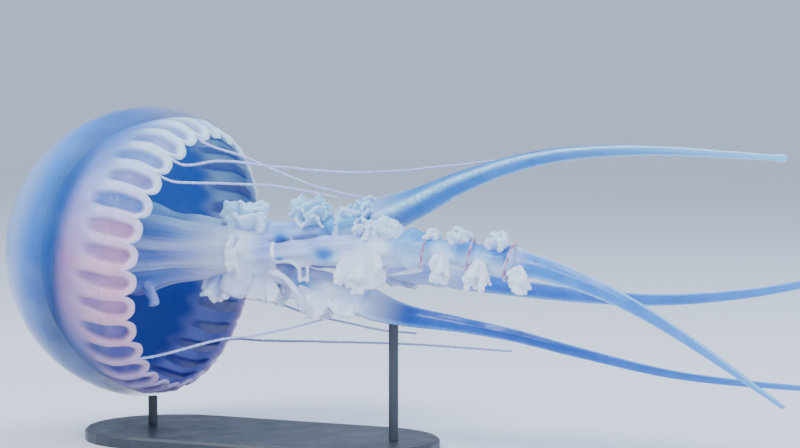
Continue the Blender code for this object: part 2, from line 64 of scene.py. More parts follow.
BMesh = bmesh.types.BMesh
Material = bpy.types.Material
Socket = bpy.types.NodeSocket
Amount = TypeVar("Amount", float, Vector)
Place = Callable[[float, float], Vector]
Mask = Callable[[float, float], float]
Range = tuple[float, float]
Points = tuple[tuple[float, float, float], ...]
Source = Union[Socket, float, str]

log = logging.getLogger("jellyfish")


class Slot(Enum):
    """The record's material slots."""

    CLEAR_JELLY = "clear_jelly"
    PINK_MUSCLE = "pink_muscle"
    WHITE_FRILL = "white_frill"
    BLUE_CLUB = "blue_club"
    LILAC_THREAD = "lilac_thread"
    STAND_METAL = "stand_metal"


class Side(Enum):
    """Where a part lies round the bell's axis, as the turn in degrees from up to the viewer."""

    UPPER = 0
    NEAR = 90
    LOWER = 180
    FAR = 270

    @property
    def word(self) -> str:
        """The side's name in the names of nodes."""
        return self.name.lower()


# ---- numbers -----------------------------------------------------------------------------------
def mix(a: Amount, b: Amount, share: float) -> Amount:
    """Goes from a to b by a share from 0 to 1."""
    return a + (b - a) * share


def ease(low: float, high: float, value: float) -> float:
    """Rises smoothly from 0 at low to 1 at high. A high that is less than low makes a fall."""
    t = min(1.0, max(0.0, (value - low) / (high - low)))
    return t * t * (3 - 2 * t)


def read_off(pairs: tuple[tuple[float, float], ...], x: float) -> float:
    """Reads a value off (x, value) pairs, easing from one to the next.

    Args:
        pairs: The pairs, in rising order of x.
        x: Where to read.

    Returns:
        The value there. Past either end it is the end's own.
    """
    for (x0, v0), (x1, v1) in zip(pairs, pairs[1:]):
        if x <= x1:
            return mix(v0, v1, ease(x0, x1, x))
    return pairs[-1][1]


def wander(x: float, y: float = 0.0, z: float = 0.0) -> float:
    """Gives smooth noise about 0, never past 1 either way, at a place measured in bumps."""
    return noise.noise(Vector((x, y, z)))


def ring(u: float, radius: float = 1.0) -> tuple[float, float]:
    """Gives the point of a circle at a share of the turn, so that noise read there has no seam."""
    return radius * cos(tau * u), radius * sin(tau * u)


# ---- meshes ------------------------------------------------------------------------------------
def warped_grid(
    columns: int, rows: int, place: Place, masks: dict[str, Mask] | None = None
) -> BMesh:
    """Bends a flat grid into a surface and welds what then meets.

    Args:
        columns: Number of faces along u.
        rows: Number of faces along v.
        place: Gives the point for u and v, each from 0 to 1.
        masks: Named values to keep on the points, for the finish to read.

    Returns:
        The surface, with its seams and poles closed.
    """
    bm = bmesh.new()
    bmesh.ops.create_grid(bm, x_segments=columns, y_segments=rows, size=0.5)
    layers = {name: bm.verts.layers.float.new(name) for name in masks or {}}
    for vert in bm.verts:
        u = round((vert.co.x + 0.5) * columns) / columns
        v = round((vert.co.y + 0.5) * rows) / rows
        vert.co = place(u, v)
        for name, layer in layers.items():
            vert[layer] = masks[name](u, v)
    bmesh.ops.remove_doubles(bm, verts=bm.verts, dist=0.002 * MM)
    return bm


def close_holes(bm: BMesh) -> None:
    """Closes a surface's open ends."""
    bmesh.ops.holes_fill(bm, edges=bm.edges)


def new_parts(names: tuple[str, ...], parts: list[BMesh]) -> BMesh:
    """Gathers parts in one mesh.

    Args:
        names: The values to keep on the points. A part that lacks one has 0 there.
        parts: The parts, which are used up.

    Returns:
        The mesh.
    """
    bm = bmesh.new()
    for name in names:
        bm.verts.layers.float.new(name)
    for part in parts:
        mesh = bpy.data.meshes.new("part")
        part.to_mesh(mesh)
        part.free()
        bm.from_mesh(mesh)
        bpy.data.meshes.remove(mesh)
    return bm


def thin_sheet(
    columns: int, rows: int, place: Place, thickness: float, masks: dict[str, Mask]
) -> BMesh:
    """Makes a closed sheet with round edges from its middle surface.

    Args:
        columns: Number of faces along u.
        rows: Number of faces along v, from the root to the free edge.
        place: Gives the middle surface's point for u and v.
        thickness: The sheet's thickness.
        masks: Named values to keep on the points.

    Returns:
        The sheet.
    """

    def bulk(u: float, v: float) -> float:
        """Gives the share of the thickness, which falls to nothing at the free edges."""
        return sqrt(1 - min(1.0, max(abs(2 * u - 1), v)) ** 12)

    bm = warped_grid(columns, rows, place, {**masks, "bulk": bulk})
    bm.normal_update()
    layer = bm.verts.layers.float["bulk"]
    front = [(vert, vert.normal * vert[layer] * thickness / 2) for vert in bm.verts]
    pairs = bmesh.ops.duplicate(bm, geom=bm.verts[:] + bm.edges[:] + bm.faces[:])["vert_map"]
    for vert, shift in front:
        vert.co += shift
        pairs[vert].co -= shift
    bmesh.ops.remove_doubles(bm, verts=bm.verts, dist=0.01 * MM)
    close_holes(bm)
    bmesh.ops.recalc_face_normals(bm, faces=bm.faces)
    return bm


def new_object(name: str, bm: BMesh) -> bpy.types.Object:
    """Makes an object out of a bmesh, which is used up, and links it to the scene."""
    mesh = bpy.data.meshes.new(name)
    bm.to_mesh(mesh)
    bm.free()
    made = bpy.data.objects.new(name, mesh)
    bpy.context.scene.collection.objects.link(made)
    return made


def modified(bm: BMesh, kind: str, settings: dict[str, object]) -> BMesh:
    """Runs a mesh through one modifier.

    Args:
        bm: The mesh, which is used up.
        kind: The modifier's type.
        settings: Its settings.

    Returns:
        The new mesh.
    """
    holder = new_object("before", bm)
    before = holder.data
    modifier = holder.modifiers.new("change", kind)
    for name, value in settings.items():
        setattr(modifier, name, value)
    evaluated = holder.evaluated_get(bpy.context.evaluated_depsgraph_get())
    after = bpy.data.meshes.new_from_object(evaluated)
    bpy.data.objects.remove(holder)
    bpy.data.meshes.remove(before)
    changed = bmesh.new()
    changed.from_mesh(after)
    bpy.data.meshes.remove(after)
    return changed


def blended(rough: BMesh, cell: float, smoothing: int) -> BMesh:
    """Melts closed parts that pass through one another into one skin with soft creases.

    Args:
        rough: The parts in one mesh, which is used up.
        cell: The new skin's face size.
        smoothing: How many times to even it out.

    Returns:
        The skin. Each point keeps the values of the nearest old one.
    """
    names = list(rough.verts.layers.float.keys())
    tree = KDTree(len(rough.verts))
    for index, vert in enumerate(rough.verts):
        tree.insert(vert.co, index)
    tree.balance()
    kept = [[vert[rough.verts.layers.float[name]] for name in names] for vert in rough.verts]
    bm = modified(rough, "REMESH", {"mode": "VOXEL", "voxel_size": cell})
    layers = [bm.verts.layers.float.new(name) for name in names]
    for vert in bm.verts:
        for layer, value in zip(layers, kept[tree.find(vert.co)[1]]):
            vert[layer] = value
    axes = {"use_axis_x": True, "use_axis_y": True, "use_axis_z": True}
    for _ in range(smoothing):
        bmesh.ops.smooth_vert(bm, verts=bm.verts, factor=0.5, **axes)
    return bm


def smooth_object(name: str, bm: BMesh, finish: Material) -> bpy.types.Object:
    """Turns a bmesh, which is used up, into a smooth object with a finish."""
    bmesh.ops.recalc_face_normals(bm, faces=bm.faces)
    made = new_object(name, bm)
    made.data.shade_smooth()
    made.data.materials.append(finish)
    return made


def add_piece(
    name: str, bm: BMesh, finish: Material, slot: Slot
) -> bpy.types.Object:
    """Makes a piece that rides on the model.

    Args:
        name: The piece's name.
        bm: Its shape, which is used up.
        finish: Its material.
        slot: The record's slot that the finish stands for. Not used.

    Returns:
        The piece.
    """
    piece = smooth_object(name, bm, finish)
    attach(piece, ROOT_BODY)
    log.info("%s: %d faces", name, len(piece.data.polygons))
    return piece


# ---- routes ------------------------------------------------------------------------------------
@dataclass
class Route:
    """A smooth line through points, read by its distance from the start."""

    points: list[Vector]
    pieces: int = 24
    line: list[Vector] = field(init=False)
    marks: list[float] = field(init=False)

    def __post_init__(self) -> None:
        """Works out the fine line and the distance of each of its points."""
        points = self.points
        slopes = [
            (after - before) / ((after - point).length + (point - before).length)
            for before, point, after in zip([points[0], *points], points, [*points[1:], points[-1]])
        ]
        self.line = []
        for a, b, slope_a, slope_b in zip(points, points[1:], slopes, slopes[1:]):
            pull = (b - a).length / 3
            handles = a + slope_a * pull, b - slope_b * pull
            self.line += interpolate_bezier(a, *handles, b, self.pieces + 1)[:-1]
        self.line.append(points[-1].copy())
        self.marks = [0.0]
        for a, b in zip(self.line, self.line[1:]):
            self.marks.append(self.marks[-1] + (b - a).length)

    @property
    def length(self) -> float:
        """The route's whole length."""
        return self.marks[-1]

    def at(self, distance: float) -> Vector:
        """Finds a point of the route.

        Args:
            distance: How far it is from the start.

        Returns:
            The point. Past either end it lies straight on.
        """
        low = min(max(bisect_right(self.marks, distance) - 1, 0), len(self.marks) - 2)
        span = self.marks[low + 1] - self.marks[low]
        return mix(self.line[low], self.line[low + 1], (distance - self.marks[low]) / span)

    def across(self, distance: float) -> tuple[Vector, Vector]:
        """Finds the two directions square to the route.

        Args:
            distance: Where on the route.

        Returns:
            The direction up, and the one towards the viewer's side.
        """
        ahead = (self.at(distance + MM) - self.at(distance - MM)).normalized()
        up = (UP - ahead * UP.dot(ahead)).normalized()
        return up, ahead.cross(up)

    def toward(self, distance: float, turn: float) -> Vector:
        """Gives the direction off the route at a turn in radians from up to the viewer's side."""
        up, near = self.across(distance)
        return up * cos(turn) + near * sin(turn)

    def around(self, distance: float, turn: float, radius: float) -> Vector:
        """Gives the point that stands off the route at a turn by a radius."""
        return self.at(distance) + self.toward(distance, turn) * radius

    def at_x(self, x_mm: float) -> float:
        """Finds the distance at which the route passes an x in mm from the bell's centre."""
        for mark, a, b in zip(self.marks, self.line, self.line[1:]):
            start, end = bell_x(a), bell_x(b)
            if end >= x_mm:
                return mark + (b - a).length * (x_mm - start) / (end - start)
        return self.length


# ---- the bell's shape --------------------------------------------------------------------------
def bell_centre() -> Vector:
    """Finds the bell's centre: over its rod, half-way up the clear jelly."""
    rod_low, rod_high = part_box("stand_rod_bell")
    low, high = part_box("umbrella")
    return Vector(((rod_low[0] + rod_high[0]) / 2, 0, (low[2] + high[2]) / 2))


@dataclass(frozen=True)
class BellShape:
    """Sizes of the bell, and its surfaces as functions of the angle from the crown."""

    centre: Vector
    radius: float = 125 * MM
    pitch: float = 8.0
    crown_thickness: float = 38 * MM
    rim_thickness: float = 3 * MM
    rim_angle: float = 100.0
    muscle_thickness: float = 3 * MM
    muscle_gap: float = 0.5 * MM
    fold_angle: float = 84.0
    notch_angle: float = 109.0
    lappet_angle: float = 113.0
    lappet_incurve: float = 5 * MM
    lappets: int = 32

    def tilted(self, local: Vector, back: bool = False) -> Vector:
        """Turns a direction from the bell's own axes to the model's, or back."""
        turn = radians(self.pitch - 90)
        return Matrix.Rotation(-turn if back else turn, 3, "Y") @ local

    def point(self, angle: float, around: float, radius: float) -> Vector:
        """Finds a point of the bell.

        Args:
            angle: Degrees from the crown.
            around: Degrees round the axis, from up towards the viewer's side.
            radius: Distance from the bell's centre.

        Returns:
            The point in the model.
        """
        tilt, turn = radians(angle), radians(around)
        out = radius * sin(tilt)
        local = Vector((out * cos(turn), -out * sin(turn), radius * cos(tilt)))
        return self.centre + self.tilted(local)

    def jelly_thickness(self, angle: float) -> float:
        """Thickness of the clear jelly at degrees from the crown."""
        return mix(self.crown_thickness, self.rim_thickness, (angle / self.rim_angle) ** 1.5)

    def lining_radius(self, angle: float) -> float:
        """Distance from the centre to the lining's outer face, at degrees from the crown."""
        if angle <= self.rim_angle:
            return self.radius - self.jelly_thickness(angle) - self.muscle_gap
        turned = (angle - self.rim_angle) / (self.lappet_angle - self.rim_angle)
        outer = self.radius - self.rim_thickness - self.muscle_gap
        return outer - self.lappet_incurve * turned**2

    def held_inside(self, point: Vector) -> Vector:
        """Pulls a point that is outside the bell's lining back into the lining."""
        off = point - self.centre
        local = self.tilted(off, back=True)
        angle = degrees(acos(max(-1.0, min(1.0, local.z / off.length))))
        limit = self.lining_radius(min(angle, self.rim_angle)) - self.muscle_thickness / 2
        return self.centre + off * min(1.0, limit / off.length)


BELL = BellShape(bell_centre())


def from_bell(x: float, y: float, z: float) -> Vector:
    """Gives the point that lies x, y and z mm from the bell's centre."""
    return BELL.centre + Vector((x, y, z)) * MM


def bell_x(point: Vector) -> float:
    """Gives a point's x in mm from the bell's centre."""
    return (point.x - BELL.centre.x) / MM


# ---- finishes ----------------------------------------------------------------------------------
def srgb(value: str) -> tuple[float, float, float, float]:
    """Turns an sRGB hex colour into a linear one.

    Args:
        value: Six hex digits.

    Returns:
        Linear red, green, blue and an alpha of 1.
    """
    channels = []
    for start in (0, 2, 4):
        share = int(value[start : start + 2], 16) / 255
        channels.append(share / 12.92 if share <= 0.04045 else ((share + 0.055) / 1.055) ** 2.4)
    return (*channels, 1.0)


class Paint:
    """A material in the making.

    A source is a node's output, a number or an sRGB hex colour. Noise lies in the piece's own
    coordinates, and kept values come from the mesh's points.
    """

    def __init__(self, name: str) -> None:
        """Starts a material of that name."""
        self.material = bpy.data.materials.new(name)
        self.material.use_nodes = True

    def feed(self, node: bpy.types.Node, inputs: dict[str | int, Source]) -> None:
        """Sets a node's inputs.

        Args:
            node: The node.
            inputs: The source for each input, by the input's name or number.
        """
        for name, source in inputs.items():
            if isinstance(source, Socket):
                self.material.node_tree.links.new(source, node.inputs[name])
            else:
                plain = srgb(source) if isinstance(source, str) else source
                node.inputs[name].default_value = plain

    def add_node(
        self, kind: str, settings: dict[str, object], inputs: dict[str | int, Source]
    ) -> bpy.types.Node:
        """Adds a node.

        Args:
            kind: The node's type, without "ShaderNode".
            settings: Properties to set on it.
            inputs: The source for each input.

        Returns:
            The node.
        """
        node = self.material.node_tree.nodes.new("ShaderNode" + kind)
        for name, value in settings.items():
            setattr(node, name, value)
        self.feed(node, inputs)
        return node

    def ramp(self, source: Source, colours: tuple[str, ...]) -> Socket:
        """Runs through colours at even steps.

        Args:
            source: What drives the ramp, from 0 to 1.
            colours: The colours, from 0 to 1.

        Returns:
            The colour's output.
        """
        node = self.add_node("ValToRGB", {}, {0: source})
        elements = node.color_ramp.elements
        while len(elements) < len(colours):
            elements.new(0.5)
        for k, (element, colour) in enumerate(zip(elements, colours)):
            element.position = k / (len(colours) - 1)
            element.color = srgb(colour)
        return node.outputs["Color"]

    def blend(self, share: Source, first: Source, second: Source) -> Socket:
        """Mixes two colours, where a share of 1 shows the second alone."""
        inputs = {0: share, 6: first, 7: second}
        return self.add_node("Mix", {"data_type": "RGBA"}, inputs).outputs[2]

    def work_out(self, operation: str, first: Source, second: Source) -> Socket:
        """Works out one number from two."""
        return self.add_node("Math", {"operation": operation}, {0: first, 1: second}).outputs[0]

    def spread(self, source: Source, before: Range, after: Range = (0.0, 1.0)) -> Socket:
        """Maps a range of values to another, held at both ends."""
        inputs = {"Value": source, 1: before[0], 2: before[1], 3: after[0], 4: after[1]}
        return self.add_node("MapRange", {}, inputs).outputs["Result"]

    def kept(self, name: str) -> Socket:
        """Reads a value kept on the mesh's points."""
        return self.add_node("Attribute", {"attribute_name": name}, {}).outputs["Fac"]

    def place(self) -> Socket:
        """Reads the place in the piece's own coordinates."""
        return self.add_node("TexCoord", {}, {}).outputs["Object"]

    def mottle(self, size_mm: float, detail: float = 3.0) -> Socket:
        """Reads noise with patches of about a size."""
        inputs = {"Vector": self.place(), "Scale": 1 / (size_mm * MM), "Detail": detail}
        return self.add_node("TexNoise", {}, inputs).outputs[0]

    def by_height(self, low_mm: float, high_mm: float, after: Range = (0.0, 1.0)) -> Socket:
        """Maps heights over the bell's centre to a range of values, held at both ends."""
        height = self.add_node("SeparateXYZ", {}, {0: self.place()}).outputs["Z"]
        before = (BELL.centre.z + low_mm * MM, BELL.centre.z + high_mm * MM)
        return self.spread(height, before, after)

    def bump(self, height: Source, depth_mm: float) -> Socket:
        """Turns a height from 0 to 1 into a bump of a depth."""
        inputs = {"Height": height, "Distance": depth_mm * MM, "Strength": 1.0}
        return self.add_node("Bump", {}, inputs).outputs["Normal"]

    def done(self, inputs: dict[str | int, Source]) -> Material:
        """Feeds the shader and gives the material."""
        self.feed(self.material.node_tree.nodes["Principled BSDF"], inputs)
        return self.material


JELLY_IOR = 1.34  # jelly is nearly all water


def flesh_glow(share: float, depth_mm: float) -> dict[str | int, Source]:
    """Gives the shader's settings for light that spreads under the surface of wet flesh."""
    return {"IOR": JELLY_IOR, "Subsurface Weight": share, "Subsurface Scale": depth_mm * MM}


@dataclass(frozen=True)
class ClearJellyFinish:
    """Mesoglea, the bell's clear jelly: smooth and wet, with a milky crown, and painted light from
    above that makes it a paler sky blue above and a deeper blue below.
    """

    # sky is painted light on the upper side and deep is painted shade on the lower side
    sky: str = "3a8eea"
    deep: str = "2148a2"
    milk: str = "94b4e8"
    film: str = "9db4f2"

    def build(self) -> Material:
        """Makes the material."""
        paint = Paint("clear_jelly")
        half_mm = BELL.radius / MM
        # painted light from above: paler blue up top, deeper blue below
        body = paint.blend(paint.by_height(-half_mm, half_mm), self.deep, self.sky)
        thinned = paint.spread(paint.kept("film"), (0.0, 1.0), (0.0, 0.16))
        streaks = paint.spread(paint.kept("streak"), (0.35, 0.95), (0.0, 0.3))
        milky = paint.work_out("MAXIMUM", streaks, paint.kept("milk"))
        colour = paint.blend(milky, paint.blend(thinned, body, self.film), self.milk)
        cloud = paint.spread(paint.mottle(24), (0.3, 0.7), (-0.04, 0.04))
        alpha = paint.work_out("ADD", paint.kept("veil"), cloud)
        looks = {"Base Color": colour, "Alpha": alpha, "Roughness": 0.14, "IOR": JELLY_IOR}
        return paint.done(looks)


@dataclass(frozen=True)
class MuscleFinish:
    """The ring muscle under the bell: satin pink outside, with pale ribs, and blue within.

    The sheet, ribs, windows and rims each have colours from the bottom of the bell to its top,
    and so have the sheet and its ribs on the side within: these ramps paint light from above,
    darker and duskier below and paler and cyan above, over the muscle's own pink and blue.
    """

    crown: str = "4f74c4"
    sheet: tuple[str, ...] = ("9c94cc", "b48ebc", "e49abc", "c2b8f2", "b8dcff")
    ribs: tuple[str, ...] = ("b09ccc", "d69cb8", "deaccc", "c6d0fc", "b8e6ff")
    windows: tuple[str, ...] = ("343c98", "4250a6", "5668b8", "5c84d2", "74aeee")
    within: tuple[str, ...] = ("34489e", "3a5ab4", "4472cc", "4a84da", "5a9ee8")
    # painted light: the ribs seen from within are pale as if lit by light shining through the
    # margin
    lit_ribs_within: tuple[str, ...] = ("7a80c8", "9aa2dc", "c6d6ff", "c0eaff", "ccfaff")
    # the lappets' pale edges: partly their own colour, partly a painted highlight
    rims_and_highlight: tuple[str, ...] = ("c4b2dc", "e2c2d6", "e6dcf8", "d6e8ff", "d4fbff")
    # the pink pockets' darker mauve: partly their own colour, partly painted shade in the pockets
    valley_and_shade: str = "b884b0"
    patch: str = "e8d6ea"
    half_height_mm: float = 110.0

    def build(self) -> Material:
        """Makes the material."""
        paint = Paint("pink_muscle")
        # height from the bottom of the bell to its top, for the ramps of painted light from above
        level = paint.by_height(-self.half_height_mm, self.half_height_mm)
        fold, folded = paint.kept("fold"), paint.kept("folded")
        windows = paint.ramp(level, self.windows)
        from_crown = paint.spread(paint.kept("crown"), (0.44, 0.58))
        sheet = paint.blend(from_crown, self.crown, paint.ramp(level, self.sheet))
        sunk = paint.blend(paint.kept("window"), self.valley_and_shade, windows)
        outside = paint.blend(folded, sheet, paint.blend(fold, sunk, paint.ramp(level, self.ribs)))
        patches = paint.spread(paint.mottle(14), (0.3, 0.75), (0.0, 0.22))
        patched = paint.blend(patches, outside, self.patch)
        # painted light on the inner ribs, between the blue windows
        ribbed = paint.blend(fold, windows, paint.ramp(level, self.lit_ribs_within))
        inside = paint.blend(folded, paint.ramp(level, self.within), ribbed)
        body = paint.blend(paint.kept("inner"), patched, inside)
        return paint.done({
            "Base Color": paint.blend(paint.kept("rim"), body, paint.ramp(level, self.rims_and_highlight)),
            "Alpha": paint.kept("cover"),
            "Normal": paint.bump(paint.kept("fibre"), 0.2),
            "Roughness": 0.34,
            **flesh_glow(0.25, 4),
        })


@dataclass(frozen=True)
class FrillFinish:
    """Oral flesh: milky and soft, paler at its edges, rosy below, cyan where clear, blue where it
    is thin jelly; painted light from above makes its upper parts cyan and its jelly a paler blue up
    high.
    """

    root: str = "7399ea"
    body: str = "b2c4fa"
    edge: str = "e4f0ff"
    blush: str = "e2bce6"
    # the cyan of clear flesh, and also painted light on the upper parts
    cyan_clear_and_lit: str = "92dafa"
    clear: str = "3076da"
    # painted light from above: the clear jelly's paler blue higher up
    clear_lit_above: str = "63b9ee"

    def build(self) -> Material:
        """Makes the material."""
        paint = Paint("white_frill")
        edge, clear = paint.kept("edge"), paint.kept("clear")
        flesh = paint.ramp(edge, (self.root, self.body, self.edge))
        blush = paint.spread(paint.mottle(26), (0.45, 0.7), (0.0, 0.5))
        rosy = paint.work_out("MULTIPLY", blush, paint.by_height(-60, 10, (1.0, 0.2)))
        chilled = paint.spread(clear, (0.0, 1.0), (0.0, 0.7))
        # painted light from above: cyan on flesh higher than the disc, and cyan where the flesh is
        # clear
        clear_and_lit_share = paint.work_out("MAXIMUM", paint.by_height(10, 46, (0.0, 0.75)), chilled)
        milky = paint.blend(clear_and_lit_share, paint.blend(rosy, flesh, self.blush), self.cyan_clear_and_lit)
        # painted light from above: the clear jelly is a paler blue higher up
        jelly = paint.blend(paint.by_height(14, 34), self.clear, self.clear_lit_above)
        thin = paint.spread(paint.work_out("SUBTRACT", clear, edge), (0.1, 0.7))
        return paint.done({
            "Base Color": paint.blend(thin, milky, jelly),
            "Alpha": paint.spread(edge, (0.0, 0.8), (0.84, 1.0)),
            "Normal": paint.bump(paint.mottle(2.2), 0.3),
            "Roughness": 0.26,
            **flesh_glow(0.15, 4),
        })


@dataclass(frozen=True)
class ClubFinish:
    """A club's firm clear jelly: blue glass with pale speckled ridges and a milky root; the ridges'
    pale lines are partly their own specks and partly a painted highlight.
    """

    name: str
    body: str
    deep: str
    # the ridges' pale colour: partly their own specks, partly a painted highlight
    ridge: str
    tip: str
    milky: float = 0.7
    milk: str = "ccdcfa"

    def build(self) -> Material:
        """Makes the material."""
        paint = Paint(self.name)
        ridge, root = paint.kept("ridge"), paint.kept("root")
        shade = paint.blend(paint.spread(paint.mottle(20), (0.35, 0.7)), self.deep, self.body)
        body = paint.blend(paint.spread(paint.kept("along"), (0.45, 1.0)), shade, self.tip)
        # painted highlight along the speckled ridge lines
        ridged_and_lit = paint.blend(ridge, body, self.ridge)
        firm = paint.spread(ridge, (0.0, 1.0), (0.88, 1.0))
        milky = paint.spread(root, (0.0, 1.0), (0.0, self.milky))
        return paint.done({
            "Base Color": paint.blend(milky, ridged_and_lit, self.milk),
            "Alpha": paint.work_out("MAXIMUM", firm, root),
            "Normal": paint.bump(paint.mottle(3.0), 0.2),
            "Roughness": 0.2,
            **flesh_glow(0.3, 5),
        })


@dataclass(frozen=True)
class LipFinish:
    """The pigmented lip of an arm's joint: a wet, dusky pink cord of flesh."""

    colour: str = "b46c96"
    pale: str = "dcc8ee"

    def build(self) -> Material:
        """Makes the material."""
        paint = Paint("joint_lip")
        colour = paint.blend(paint.spread(paint.mottle(7), (0.4, 0.65)), self.colour, self.pale)
        return paint.done({"Base Color": colour, "Roughness": 0.3, "IOR": JELLY_IOR})


@dataclass(frozen=True)
class ThreadFinish:
    """A marginal tentacle: a wet lilac thread, beaded with paler sting cells."""

    body: str = "919de2"
    bead: str = "d3dafa"

    def build(self) -> Material:
        """Makes the material."""
        paint = Paint("lilac_thread")
        colour = paint.blend(paint.kept("bead"), self.body, self.bead)
        return paint.done({"Base Color": colour, "Roughness": 0.3, "IOR": JELLY_IOR})


@dataclass(frozen=True)
class StandPaintFinish:
    """Powder-coated steel: a satin, finely pebbled dark grey."""

    colour: str = "2e333b"
    worn: str = "3d434d"

    def build(self) -> Material:
        """Makes the material."""
        paint = Paint("stand_metal")
        return paint.done({
            "Base Color": paint.blend(paint.mottle(30), self.colour, self.worn),
            "Roughness": paint.spread(paint.mottle(18), (0.3, 0.7), (0.36, 0.5)),
            "Normal": paint.bump(paint.mottle(0.9, 1.0), 0.05),
        })


@dataclass(frozen=True)
class FloorFinish:
    """A matt painted floor."""

    colour: str = "e3e9f2"

    def build(self) -> Material:
        """Makes the material."""
        return Paint("floor_paint").done({"Base Color": self.colour, "Roughness": 0.9})


# ---- the bell ----------------------------------------------------------------------------------
@dataclass
class Umbrella:
    """The thick clear jelly of the bell. Its ranges are in degrees from the crown."""

    columns: int = 240
    outer_rows: int = 72
    rim_rows: int = 6
    inner_rows: int = 48
    thick_veil: float = 0.92
    thin_veil: float = 0.16
    top_veil: float = 0.3
    bottom_veil: float = 0.6
    rim_veil: float = 0.05
    thinning: Range = (61, 82)
    filming: Range = (72, 92)
    milkiness: float = 0.8
    milk_end: Range = (46, 68)

    @property
    def rows(self) -> int:
        """Number of rows from the crown, round the rim and back."""
        return self.outer_rows + self.rim_rows + self.inner_rows

    def outline(self, v: float) -> tuple[float, float]:
        """Follows the jelly's profile from the crown, round the rim and back inside.

        Args:
            v: Share of the rows, from 0 to 1.

        Returns:
            Degrees from the crown, and the distance from the bell's centre.
        """
        row = v * self.rows
        rim = BELL.rim_angle
        if row <= self.outer_rows:
            return rim * row / self.outer_rows, BELL.radius
        if row >= self.outer_rows + self.rim_rows:
            angle = rim * (self.rows - row) / self.inner_rows
            return angle, BELL.radius - BELL.jelly_thickness(angle)
        turn = pi * (row - self.outer_rows) / self.rim_rows
        half = BELL.rim_thickness / 2
        bulge = degrees(half / BELL.radius) * sin(turn)
        return rim + bulge, BELL.radius - half + half * cos(turn)

    def place(self, u: float, v: float) -> Vector:
        """Gives the point for a share round the bell and a share of the profile."""
        angle, radius = self.outline(v)
        return BELL.point(angle, 360 * u, radius)

    def veil(self, u: float, v: float) -> float:
        """Gives how much the jelly hides: more where it is thick, and above and below."""
        angle, _ = self.outline(v)
        up = cos(tau * u)
        thin = self.thin_veil + self.top_veil * ease(0.45, 0.95, up)
        thin += self.bottom_veil * ease(0.45, 0.95, -up)
        veil = mix(self.thick_veil, thin, ease(*self.thinning, angle))
        return mix(veil, self.rim_veil, ease(self.thinning[1], BELL.rim_angle, angle))

    def film(self, _u: float, v: float) -> float:
        """Gives how thin and pale the jelly is towards the rim."""
        return ease(*self.filming, self.outline(v)[0])

    def milk(self, u: float, v: float) -> float:
        """Gives the milky cap of the crown."""
        angle = self.outline(v)[0] + 4 * wander(*ring(u, 2))
        return self.milkiness * (1 - ease(*self.milk_end, angle))

    def streak(self, u: float, v: float) -> float:
        """Gives the milky streaks that run from the crown to the rim."""
        angle, _ = self.outline(v)
        fine = wander(*ring(u, 5), angle / 60)
        broad = wander(*ring(u, 1.6), angle / 90 + 7)
        return (0.5 + 0.6 * fine + 0.5 * broad) * ease(6, 30, angle)

    def build(self) -> None:
        """Makes the piece."""
        masks = {"veil": self.veil, "film": self.film, "milk": self.milk, "streak": self.streak}
        bm = warped_grid(self.columns, self.rows, self.place, masks)
        piece = add_piece("umbrella_skin", bm, ClearJellyFinish().build(), Slot.CLEAR_JELLY)
        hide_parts("umbrella")


